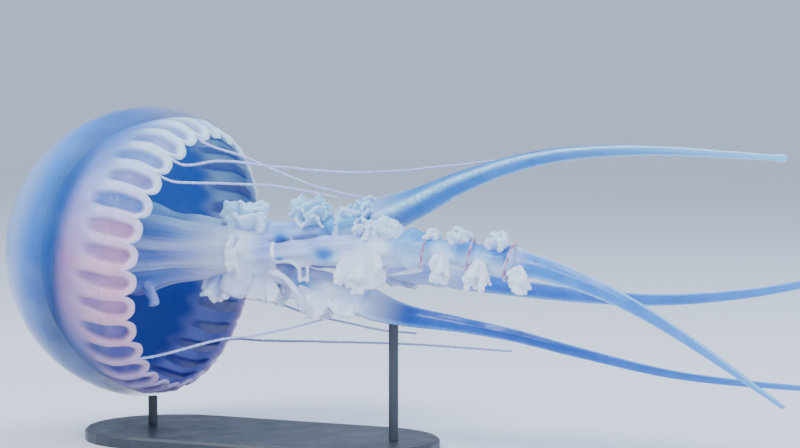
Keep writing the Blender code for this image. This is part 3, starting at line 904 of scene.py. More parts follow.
@dataclass
class Muscle:
    """The pink sheet that lines the bell, with its folds and lappets."""

    columns_each: int = 20
    outer_rows: int = 86
    edge_rows: int = 6
    inner_rows: int = 50
    pocket_depth: float = 3.8 * MM
    rib_height: float = 0.6 * MM
    rib_thickness: float = 5.8 * MM
    pane_thickness: float = 0.9 * MM
    edge_thickness: float = 3.4 * MM
    roll: float = 1.4 * MM
    fibre_pitch: float = 1.6  # degrees between ring fibres, about 3 mm
    hem_wave: float = 1.5 * MM
    lip_bulge: float = 0.8  # degrees that the margin's round edge stands out
    longer: float = 2.2  # degrees that a lappet may be longer or shorter than the others
    clearness: float = 0.3
    pocket_start: float = 0.04  # share of the way to the margin, as the next is
    start_spread: float = 0.18
    pocket_half: float = 0.27  # share of a lappet's width, as the next three are
    half_spread: float = 0.09
    pocket_shift: float = 0.07
    pocket_slant: float = 0.05
    pocket_end: Range = (0.885, 0.97)  # shares of the way to the margin
    full_turn: float = 112.0  # degrees from the crown at which its colour has run its course

    @property
    def rows(self) -> int:
        """Number of rows from the crown, round the margin and back."""
        return self.outer_rows + self.edge_rows + self.inner_rows

    def spot(self, u: float, v: float) -> tuple[float, float, float, float]:
        """Works out where a grid point lies.

        Args:
            u: Share round the bell.
            v: Share of the rows.

        Returns:
            Degrees from the crown, the place across its lappet from -0.5 to 0.5, the share of
            the way from the folds' start to the margin, and the share through the thickness.
        """
        across = (u * BELL.lappets) % 1.0 - 0.5
        bulge = (1 - abs(2 * across) ** 3) ** 0.8
        length = self.longer * self.own(u, 3.1)
        end = mix(BELL.notch_angle, BELL.lappet_angle + length, bulge)
        row = v * self.rows
        if row <= self.outer_rows:
            share, depth = row / self.outer_rows, 0.0
        elif row >= self.outer_rows + self.edge_rows:
            share, depth = (self.rows - row) / self.inner_rows, 1.0
        else:
            share, depth = 1.0, (row - self.outer_rows) / self.edge_rows
        angle = end * share**0.85 + self.lip_bulge * sin(pi * depth)
        along = (angle - BELL.fold_angle) / (end - BELL.fold_angle)
        return angle, across, along, depth

    @staticmethod
    def own(u: float, seed: float) -> float:
        """Gives a lappet's own number for a trait, from -1 to 1, for a share round the bell."""
        return wander(1.7 * (int(u * BELL.lappets) % BELL.lappets), seed)

    def sunk(self, u: float, v: float) -> float:
        """Says how far into a pocket a place is.

        Args:
            u: Share round the bell.
            v: Share of the rows.

        Returns:
            0 on the ribs and the rim, and 1 on the pocket's floor.
        """
        _, across, along, _ = self.spot(u, v)
        start = self.pocket_start + self.start_spread * self.own(u, 5.5)
        half = self.pocket_half + self.half_spread * self.own(u, 1.2)
        half *= mix(0.55, 1.0, ease(start, start + 0.5, along))
        off = abs(across - self.pocket_shift * self.own(u, 8.8) - self.pocket_slant * along)
        bottom = 1 - ease(half - 0.07, half + 0.09, off)
        close = 1 - ease(*self.pocket_end, along + 0.5 * off**1.6)
        return bottom * ease(start, start + 0.24, along) * close

    def place(self, u: float, v: float) -> Vector:
        """Gives the point for a share round the bell and a share of the rows."""
        angle, across, along, depth = self.spot(u, v)
        sunk = self.sunk(u, v)
        folded = mix(self.rib_thickness, self.edge_thickness, ease(0.82, 0.98, along))
        thickness = mix(BELL.muscle_thickness, folded, ease(0.02, 0.3, along))
        thickness = mix(thickness, self.pane_thickness, sunk)
        rib = self.rib_height * ease(0.0, 0.4, along) * cos(tau * across)
        hem = self.hem_wave * ease(0.75, 1.1, along) * wander(u * 90, along)
        roll = self.roll * ease(0.88, 0.98, along)
        radius = BELL.lining_radius(angle) - self.pocket_depth * sunk - rib - hem + roll
        return BELL.point(angle, 360 * u, radius - thickness * depth)

    def crown(self, u: float, v: float) -> float:
        """Gives the angle from the crown as a share of the whole, slightly uneven."""
        return (self.spot(u, v)[0] + 5 * wander(*ring(u, 2), 9)) / self.full_turn

    def folded(self, u: float, v: float) -> float:
        """Says where the folds' colours take over from the plain sheet's."""
        _, across, along, _ = self.spot(u, v)
        return ease(-0.05, 0.25, along + 0.05 * cos(tau * across))

    def fold(self, u: float, v: float) -> float:
        """Gives 1 on the ribs and 0 in the pockets."""
        return 1 - self.sunk(u, v)

    def window(self, u: float, _v: float) -> float:
        """Says how blue a pocket is: the ones nearest the viewer's middle are pink."""
        around = 360 * (int(u * BELL.lappets) + 0.5) / BELL.lappets
        off = abs((around - Side.NEAR.value + 180) % 360 - 180)
        return min(1.0, max(0.15, ease(6, 34, off) + 0.7 * self.own(u, 4.4)))

    def rim(self, u: float, v: float) -> float:
        """Gives 1 at the lappets' pale edges, which are partly their own pale colour and partly a
        painted highlight.
        """
        return 0.65 * ease(0.88, 1.0, self.spot(u, v)[2])

    def inner(self, u: float, v: float) -> float:
        """Gives 1 on the side that faces the bell's hollow."""
        return self.spot(u, v)[3]

    def fibre(self, u: float, v: float) -> float:
        """Gives the height of the ring fibres."""
        angle = self.spot(u, v)[0]
        drift = 2 * wander(*ring(u, 7), angle / 30)
        return 0.5 + 0.5 * sin(tau * (angle / self.fibre_pitch + drift))

    def cover(self, u: float, v: float) -> float:
        """Gives how solid the sheet is: the blue pockets are the clearest."""
        return 1 - self.clearness * self.sunk(u, v) * self.window(u, v)

    def build(self) -> None:
        """Makes the piece."""
        names = ("crown", "folded", "fold", "window", "rim", "fibre", "cover", "inner")
        masks = {name: getattr(self, name) for name in names}
        bm = warped_grid(BELL.lappets * self.columns_each, self.rows, self.place, masks)
        piece = add_piece("muscle_skin", bm, MuscleFinish().build(), Slot.PINK_MUSCLE)
        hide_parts("subumbrella", *("margin_" + side.word for side in Side))


# ---- frilled flesh -----------------------------------------------------------------------------
@dataclass(frozen=True)
class Cut:
    """How a frill's leaves are cut: the pitch, thickness and knob in mm, and the rest as shares."""

    lobe_pitch: float = 9.0
    swing: float = 0.30
    thickness: float = 2.0
    knob: float = 1.7
    scallop: float = 0.20
    rounding: float = 0.62
    pale_root: float = 0.0


@dataclass(frozen=True)
class Ruffle:
    """A lacy leaf that fans out from a root line to round lobes, bent to either side by turns."""

    start: Vector
    end: Vector
    out: Vector
    reach: float
    seed: float
    spread: float
    cut: Cut
    unevenness: float = 0.26
    fine_scallop: float = 0.03
    curl: float = 0.6
    spill: float = 0.30  # of a lobe's pitch, past the leaf's sides
    columns: int = 84
    rows: int = 16

    @property
    def pitch(self) -> float:
        """The distance between lobes."""
        return self.cut.lobe_pitch * MM

    @property
    def lobes(self) -> int:
        """How many lobes fit along the free edge."""
        fan = 2 * self.reach * sin(radians(self.spread))
        return max(2, round(((self.end - self.start).length + fan) / self.pitch))

    def place(self, u: float, v: float) -> Vector:
        """Gives the leaf's point.

        Args:
            u: Share along the root.
            v: Share out to the free edge.

        Returns:
            The point of its middle surface.
        """
        root, cut = self.end - self.start, self.cut
        along = root.normalized()
        side = along.cross(self.out).normalized()
        beat = pi * (self.lobes * u + self.seed)
        big = abs(sin(beat + 0.7 * wander(u * 5, self.seed))) ** 0.6
        small = abs(sin(3.2 * beat + self.seed)) ** 0.6
        size = 1 - cut.rounding * abs(2 * u - 1) ** 4
        size += self.unevenness * wander(u * 3, self.seed)
        fine = self.fine_scallop
        hem = (1 - fine - cut.scallop) * v + v**4 * cut.scallop * big + v**8 * fine * small
        lean = radians(self.spread) * (2 * u - 1) * v**1.2
        bend = v**1.6 * sin(0.6 * beat + 2 * self.seed)
        bend += 0.25 * v**3 * sin(1.4 * beat + self.seed)
        curl = self.curl * v * wander(u * 4, 1.5 * v, self.seed)
        sway = self.reach * cut.swing * (bend + curl)
        wave = abs(sin(pi * (v * self.reach / self.pitch + self.seed))) ** 0.6
        stand = self.out * cos(lean) + along * sin(lean)
        spill = along * (self.spill * self.pitch * wave * v**0.5 * (2 * u - 1) ** 7)
        return self.start + root * u + stand * (self.reach * size * hem) + side * sway + spill

    def build(self) -> BMesh:
        """Makes the leaf as a closed sheet that keeps how pale it is."""
        masks = {"edge": lambda _u, v: mix(self.cut.pale_root, 1, v)}
        return thin_sheet(self.columns, self.rows, self.place, self.cut.thickness * MM, masks)

    def build_knobs(self) -> BMesh:
        """Makes the knobs of mouth tissue along the leaf's edge."""
        bm = new_parts(("edge",), [])
        count = 3 * self.lobes
        jog = [0.97 + 0.10 * wander(k * 0.77, self.seed, 5) for k in range(count)]
        rim = [((k + 0.5) / count, out) for k, out in enumerate(jog)]
        flanks = max(2, round(self.reach / self.pitch * 1.6))
        rim += [(side, mix(0.5, 0.95, k / flanks)) for side in (0.02, 0.98) for k in range(flanks)]
        for k, (u, v) in enumerate(rim):
            radius = self.cut.knob * MM * (1 + 0.7 * wander(k * 1.37, self.seed))
            centre = Matrix.Translation(self.place(u, v))
            bmesh.ops.create_icosphere(bm, subdivisions=2, radius=radius, matrix=centre)
        for vert in bm.verts:
            vert[bm.verts.layers.float["edge"]] = 1.0
        return bm


@dataclass(frozen=True)
class Strut:
    """A bridge of flesh between two parts, thick at both ends: sizes in mm."""

    points_mm: Points
    middle_radius: float
    end_radius: float
    edge: float = 0.7
    lumpiness: float = 0.45

    def build(self) -> BMesh:
        """Makes the strut as a closed tube."""
        route = Route([from_bell(*p) for p in self.points_mm])

        def place(u: float, v: float) -> Vector:
            """Gives a point of the strut's skin."""
            cap = sqrt(1 - abs(2 * v - 1) ** 12)
            lumps = 1 + self.lumpiness * wander(5 * v, *ring(u, 1.3))
            radius = mix(self.middle_radius, self.end_radius, abs(2 * v - 1) ** 1.6) * lumps * MM
            return route.around(route.length * v, tau * u, radius * cap)

        return warped_grid(20, 40, place, {"edge": lambda _u, _v: self.edge})


@dataclass
class Frills:
    """Leaves that grow close together, melted into one lacy skin."""

    name: str
    leaves: list[Ruffle]
    cell: float = 0.8 * MM

    def build(self, finish: Material) -> None:
        """Makes the piece with the finish of frilled flesh."""
        parts = [part for leaf in self.leaves for part in (leaf.build(), leaf.build_knobs())]
        skin = blended(new_parts(("edge", "bulk"), parts), self.cell, 1)
        add_piece(self.name, skin, finish, Slot.WHITE_FRILL)


def fleshy(lobe_pitch: float, thickness: float) -> Cut:
    """Gives the cut of a thick leaf, whose knobs go with its thickness."""
    return Cut(lobe_pitch, 0.14, thickness, 0.6 * thickness)


@dataclass(frozen=True)
class Shoulder:
    """A fleshy fan that stands out from the mouth's disc: sizes in mm, and turns in degrees."""

    side: Side
    middle: float  # along X from the bell's centre
    half: float
    reach: float
    lean: float
    spread: float
    cut: Cut
    turn: float = 0.0  # past its side
    upright: bool = False
    root: float = 17.0
    height: float = 4.0
    layer_step: float = 5.0
    layer_turn: float = 26.0

    def leaves(self) -> list[Ruffle]:
        """Gives the fan's leaves, one in front of the other."""
        made = []
        for layer in range(2):
            swing = radians(self.side.value + self.turn + self.layer_turn * layer)
            lean = sin(radians(self.lean))
            out = Vector((lean, -sin(swing), cos(swing))).normalized()
            middle = from_bell(self.middle + self.layer_step * layer, 0, self.height)
            middle += out * self.root * MM
            half = (out.cross(AHEAD).normalized() if self.upright else AHEAD) * self.half * MM
            reach = self.reach * (1 - 0.25 * layer) * MM
            seed = 0.37 * self.side.value + 0.61 * layer
            root = middle - half, middle + half
            made.append(Ruffle(*root, out, reach, seed, self.spread, self.cut))
        return made


SHOULDERS = (
    Shoulder(Side.UPPER, 92, 10, 27, 2, 50, fleshy(8, 4.4)),
    Shoulder(Side.NEAR, 99, 12, 10, -22, 14, fleshy(10, 5.0), upright=True, root=20),
    Shoulder(Side.LOWER, 84, 15, 27, -10, 34, fleshy(8, 5.0), turn=-24),
    Shoulder(Side.FAR, 90, 10, 24, 2, 40, fleshy(10, 3.4)),
)


# ---- the trunk: stalk, mouth and arms ----------------------------------------------------------
@dataclass
class Stalk:
    """The ribbed stomach stalk and the mouth's disc that it ends in."""

    ribs: int = 9
    rib_depth: float = 0.12
    fine_depth: float = 0.035
    lumpiness: float = 0.16
    radius: float = 17.0  # in mm, as the next two are
    root_flare: float = 52.0
    disc_flare: float = 9.0
    columns: int = 168
    rows: int = 130
    route_mm: Points = ((-92, 0, 12), (10, 0, 4), (116, 0, 4))
    struts: tuple[Strut, ...] = (
        Strut(((2, -12, -24), (7, -13, -36), (10, -13, -46)), 4.8, 5.6, 0.3),
        Strut(((-16, -20, -24), (-14, -34, -34), (-8, -52, -38)), 3.4, 7.0, 0.45),
        Strut(((98, -2, 6), (97, -1, 24), (99, 0, 44)), 8.5, 15, 0.85),
        Strut(((92, -8, -2), (88, -10, -20), (84, -12, -34)), 12, 15, 0.85),
    )

    def __post_init__(self) -> None:
        """Lays the stalk's route."""
        self.route = Route([from_bell(*p) for p in self.route_mm])

    def drift(self, u: float, v: float) -> float:
        """Gives how far the ribs wander round the stalk, in radians of their wave."""
        return 1.6 * wander(*ring(u, 1.2), 2.5 * v)

    def rib(self, u: float, v: float) -> float:
        """Gives 1 on a rib and -1 between two."""
        return cos(self.ribs * (tau * u) + 1.5 * v + self.drift(u, v))

    def place(self, u: float, v: float) -> Vector:
        """Gives the point for a share round the stalk and a share along it."""
        turn = tau * u
        rib = self.rib(u, v)
        fine = cos(3 * self.ribs * turn - 4 * v + 2 * self.drift(u, v))
        disc = ease(0.7, 0.88, v)
        depth = self.rib_depth * (1 - 0.5 * v) * (1 - 0.8 * disc)
        flute = depth * abs(rib) ** 0.6 * copysign(1, rib) + self.fine_depth * fine * (1 - disc)
        lump = self.lumpiness * wander(*ring(u, 1.5), v * 6)
        radius = self.radius + self.root_flare * (1 - v) ** 1.9 + self.disc_flare * v**4
        radius *= 1 + flute + lump
        cap = sqrt(1 - ease(0.86, 1.0, v) ** 2)
        return BELL.held_inside(self.route.around(self.route.length * v, turn, radius * cap * MM))

    def edge(self, u: float, v: float) -> float:
        """Gives 1 on the pale ribs, fading to blue in between and at the root."""
        rib = 0.5 + 0.5 * self.rib(u, v)
        fine = wander(*ring(u, 14), 1.5 * v)
        ribbed = ease(0.1, 0.6, v) * (0.1 + 0.6 * rib**1.5 + 0.35 * fine)
        return mix(ribbed, 0.9, ease(0.52, 0.82, v))

    def parts(self) -> list[BMesh]:
        """Gives the closed parts that the stalk is melted from."""
        body = warped_grid(self.columns, self.rows, self.place, {"edge": self.edge})
        close_holes(body)
        return [body, *(strut.build() for strut in self.struts)]


@dataclass
class Trunk:
    """The stalk, the mouth's disc and the arms, melted into one skin."""

    stalk: Stalk
    arms: "list[Arm]"
    cell: float = 1.05 * MM
    kept_faces: float = 0.6

    def build(self, finish: Material) -> None:
        """Makes the piece with the finish of frilled flesh."""
        parts = [part for grown in (self.stalk, *self.arms) for part in grown.parts()]
        skin = blended(new_parts(("edge", "clear"), parts), self.cell, 6)
        skin = modified(skin, "DECIMATE", {"ratio": self.kept_faces})
        piece = add_piece("trunk_skin", skin, finish, Slot.WHITE_FRILL)
        arms = (node for arm in self.arms for node in arm.nodes)
        shoulders = ("shoulder_" + side.word for side in Side)
        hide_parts("manubrium", "oral_disc", *shoulders, *arms)


@dataclass(frozen=True)
class Frill:
    """Where a frill grows on an arm: in mm along X and past the arm, and its turn in degrees.

    It stands straight off the arm, unless hang gives another turn for it to reach towards.
    """

    middle: float
    half: float
    reach: float
    turn: float
    spread: float = 45.0
    cut: Cut = Cut()
    hang: float | None = None
    layers: int = 3
    layer_turn: float = 22.0
    hang_turn: float = 9.0
    layer_fall: float = 0.22
    root_share: float = 0.8

    def root_radius(self, flesh: float) -> float:
        """Gives how far in mm the root is off the arm's middle, for flesh of a radius there."""
        return 0.75 * flesh if self.hang is None else flesh - 0.5 * self.cut.thickness + 0.3


@dataclass(frozen=True)
class Pane:
    """A thin blue patch of an arm: its middle and half sizes, in mm along X and in degrees."""

    middle: float
    turn: float
    half: float
    half_turn: float

    def share(self, x: float, turn: float) -> float:
        """Gives 1 in the pane's middle and 0 outside it, at an x in mm and a turn in degrees."""
        off = (turn - self.turn + 180) % 360 - 180
        return 1 - ease(0.0, 1.0, hypot((x - self.middle) / self.half, off / self.half_turn))


@dataclass(frozen=True)
class Taper:
    """A club's radii in mm: a root that narrows fast to an even taper from waist to tip."""

    root: float
    waist: float
    tip: float
    flare: float

    def radius(self, v: float) -> float:
        """Gives the radius for a share along the club."""
        return mix(self.waist, self.tip, v) + (self.root - self.waist) * (1 - v) ** self.flare


@dataclass
class Arm:
    """An oral arm with its frills and the long club that it ends in: sizes in mm."""

    side: Side
    route_mm: Points
    club_x: float
    radii: tuple[tuple[float, float], ...]
    frills: tuple[Frill, ...]
    club: Taper
    nodes: tuple[str, ...]
    finish: ClubFinish
    knob: float = 1.0
    ridge_turn: float = 0.0
    twist: float = 50.0
    struts: tuple[Strut, ...] = ()
    cuffs: tuple[float, ...] = ()
    panes: tuple[Pane, ...] = ()
    clear_from: float = 1000.0
    flesh_columns: int = 88
    flesh_rows: int = 260
    straight: float = 15.0
    fade: float = 12.0  # over which the flesh changes colour
    flute: float = 0.07
    lumpiness: float = 0.22
    flesh_start: float = -20.0
    flesh_overlap: float = 2.0
    club_columns: int = 60
    club_rows: int = 260
    cuff_length: float = 26.0
    cuff_flare: float = 3.8
    cuff_tilt: float = 2.2
    cuff_lean: float = 5.0
    cuff_end: float = 2.0
    lip_radius: float = 0.95
    # how wide the pale ridge lines are, which are partly a painted highlight
    ridge_highlight_spread: float = 0.032
    club_sink: float = 7.0
    ridge_height: float = 0.26
    ridge_width: float = 0.34
    ridge_base: float = 0.09
    knob_from: float = 0.972

    def __post_init__(self) -> None:
        """Lays the route, which leaves the disc square to it."""
        start, *rest = (from_bell(*p) for p in self.route_mm)
        self.route = Route([start, start + AHEAD * (self.straight * MM), *rest])
        self.club_start = self.route.at_x(self.club_x)

    # the fleshy arm, from the disc to the club
    def cuff_skew(self, turn: float) -> float:
        """Gives how far in mm a joint's rim is pulled along the arm on one side."""
        return self.cuff_tilt * cos(turn) + self.cuff_lean * sin(turn)

    def cuff(self, x: float, turn: float) -> float:
        """Gives the flare in mm of a joint's sleeve.

        Args:
            x: Millimetres from the bell's centre.
            turn: Angle in radians from up towards the viewer's side.

        Returns:
            How far the sleeve stands off the arm.
        """
        for middle in self.cuffs:
            edge = middle + self.cuff_skew(turn)
            if edge - self.cuff_length < x <= edge + self.cuff_end:
                rise = (x - edge + self.cuff_length) / self.cuff_length
                return self.cuff_flare * rise**3 * (1 - ease(edge, edge + self.cuff_end, x))
        return 0.0

    def flesh_distance(self, v: float) -> float:
        """Gives the place along the route for a share along the fleshy arm."""
        return mix(self.flesh_start * MM, self.club_start + self.flesh_overlap * MM, v)

    def flesh_x(self, v: float) -> float:
        """Gives the x in mm from the bell's centre for a share along the fleshy arm."""
        return bell_x(self.route.at(self.flesh_distance(v)))

    def flesh_place(self, u: float, v: float) -> Vector:
        """Gives the point for a share round the fleshy arm and a share along it."""
        turn, x = tau * u, self.flesh_x(v)
        flute = self.flute * cos(5 * turn + x / 14)
        flute += self.lumpiness * wander(x / 14, *ring(u, 1.3))
        cap = sqrt(1 - abs(2 * v - 1) ** 30)
        radius = read_off(self.radii, x) * (1 + flute) + self.cuff(x, turn)
        return self.route.around(self.flesh_distance(v), turn, radius * cap * MM)

    def pane_share(self, u: float, v: float) -> float:
        """Says how far into a thin blue patch a place is."""
        x = self.flesh_x(v)
        return max((pane.share(x, 360 * u) for pane in self.panes), default=0.0)

    def frill_share(self, x: float) -> float:
        """Gives 1 where a hanging frill grows, and 0 away from it, for an x in mm."""
        near = (
            1 - ease(frill.half, frill.half + self.fade, abs(x - frill.middle))
            for frill in self.frills
            if frill.hang is not None
        )
        return max(near, default=0.0)

    def flesh_edge(self, u: float, v: float) -> float:
        """Gives how pale the arm's flesh is: palest below and where a frill hangs."""
        x = self.flesh_x(v)
        below = 0.5 - 0.5 * cos(tau * u)
        pale = 0.28 + 0.55 * below**1.6 + 0.3 * wander(v * 9, u * 3) + 0.3 * self.frill_share(x)
        arm = min(1.0, pale) * (1 - 0.6 * self.pane_share(u, v))
        return mix(0.88, arm, ease(94, 124, x))

    def flesh_clear(self, u: float, v: float) -> float:
        """Gives how far the flesh has turned to clear blue jelly, most of all on its upper side."""
        above = 0.5 + 0.5 * cos(tau * u)
        jelly = ease(self.clear_from - self.fade, self.clear_from + self.fade, self.flesh_x(v))
        return max(jelly * mix(0.35, 1.2, above), 0.95 * self.pane_share(u, v))

    def leaves(self, index: int, frill: Frill) -> list[Ruffle]:
        """Gives a frill's leaves.

        Args:
            index: The frill's number on its arm.
            frill: Where it grows.

        Returns:
            Its leaves, the tallest in the middle.
        """
        middle = self.route.at_x(frill.middle)
        half = frill.half * MM * frill.root_share
        root = frill.root_radius(read_off(self.radii, frill.middle)) * MM
        made = []
        for layer in range(-(frill.layers // 2), (frill.layers + 1) // 2):
            turn = radians(frill.turn + frill.layer_turn * layer)
            aim = turn if frill.hang is None else radians(frill.hang + frill.hang_turn * layer)
            out = self.route.toward(middle, aim)
            start, end = (self.route.around(middle + side * half, turn, root) for side in (-1, 1))
            reach = (frill.reach * (1 - frill.layer_fall * abs(layer)) + 0.3 * root / MM) * MM
            seed = 0.71 * index + 0.43 * layer + self.side.value
            made.append(Ruffle(start, end, out, reach, seed, frill.spread, frill.cut))
        return made

    def parts(self) -> list[BMesh]:
        """Gives the closed parts that the arm's flesh is melted from."""
        masks = {"edge": self.flesh_edge, "clear": self.flesh_clear}
        body = warped_grid(self.flesh_columns, self.flesh_rows, self.flesh_place, masks)
        return [body, *(strut.build() for strut in self.struts)]

    def build_lips(self, finish: Material) -> None:
        """Makes the thin dark lips round the joints' sleeves, with the lips' finish."""
        for number, middle in enumerate(self.cuffs):
            base = self.route.at_x(middle)
            flesh = (read_off(self.radii, middle) + self.cuff_flare - 0.3) * MM

            def place(u: float, v: float) -> Vector:
                """Gives a point of the lip's skin."""
                turn = tau * u
                near = 0.5 - 0.5 * cos(turn - radians(20))
                lumps = 0.7 + 0.6 * near + 0.6 * wander(*ring(u, 2), number)
                off, on = ring(v, self.lip_radius * MM * lumps)
                shift = (self.cuff_skew(turn) + 0.8 * wander(*ring(u, 3))) * MM
                return self.route.around(base + shift + on, turn, flesh + off)

            name = f"lip_{self.side.word}_{number + 1}"
            add_piece(name, warped_grid(96, 10, place), finish, Slot.PINK_MUSCLE)

    def build_frills(self, finish: Material) -> None:
        """Makes the arm's frills as one skin, with the finish of frilled flesh."""
        leaves = [leaf for k, frill in enumerate(self.frills) for leaf in self.leaves(k, frill)]
        Frills("frills_" + self.side.word, leaves).build(finish)

    # the club
    def ridge_off(self, u: float, v: float) -> float:
        """Gives how far round a place is from the nearest of the club's three ridges."""
        return (u - (self.ridge_turn + self.twist * v) / 360 + 1 / 6) % (1 / 3) - 1 / 6

    def club_place(self, u: float, v: float) -> Vector:
        """Gives the point for a share round the club and a share along it."""
        off = tau * self.ridge_off(u, v)
        ridge = self.ridge_height * exp(-((off / self.ridge_width) ** 2)) - self.ridge_base
        ridge += 0.05 * wander(v * 14, *ring(u))
        radius = self.club.radius(v)
        if v > self.knob_from:
            swell = sin(pi * min(1.0, (v - self.knob_from) / (1 - self.knob_from)))
            radius *= 1 + (self.knob - 1) * swell
        cap = sqrt(1 - (1 - ease(0.0, 0.035, v)) ** 2)
        cap *= sqrt(1 - ease(0.993, 1.0, v) ** 2)
        distance = mix(self.club_start - self.club_sink * MM, self.route.length, v)
        return self.route.around(distance, tau * u, radius * (1 + ridge) * cap * MM)

    def club_ridge(self, u: float, v: float) -> float:
        """Gives 1 along the club's ridges, broken into specks: the ridges' own pale specks, and
        also a painted highlight.
        """
        specks = 0.75 + 0.5 * wander(v * 130, u * 20)
        line = exp(-((self.ridge_off(u, v) / self.ridge_highlight_spread) ** 2))
        return line * specks * ease(0.0, 0.06, v)

    def club_root(self, _u: float, v: float) -> float:
        """Gives 1 at the milky root of the club."""
        return 1 - ease(0.012, 0.12, v)

    def build_club(self) -> None:
        """Makes the club."""
        masks = {"ridge": self.club_ridge, "root": self.club_root, "along": lambda _u, v: v}
        bm = warped_grid(self.club_columns, self.club_rows, self.club_place, masks)
        name = "club_" + self.side.word
        piece = add_piece(name + "_skin", bm, self.finish.build(), Slot.BLUE_CLUB)
        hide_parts(*(f"{name}_{length}" for length in ("root", "middle", "tip")))


TUFT = Cut(lobe_pitch=7)
SMALL_TUFT = Cut(lobe_pitch=6)
JOINT_TUFT = Cut(5, 0.2, thickness=3.0, knob=2.6)
CURTAIN = Cut(8, 0.10, thickness=6.0, knob=2.2, scallop=0.10, rounding=0.34, pale_root=0.75)
UNDER_CURTAIN = replace(CURTAIN, lobe_pitch=7, swing=0.16, thickness=4.0)
JOINT_FAN = replace(CURTAIN, lobe_pitch=5, swing=0.2, thickness=2.8, scallop=0.2)
LOW_FOLD = replace(CURTAIN, lobe_pitch=7, swing=0.14, thickness=3.4, knob=2.0, scallop=0.11)
BROAD_FOLD = replace(LOW_FOLD, lobe_pitch=8, swing=0.10, thickness=4.0)


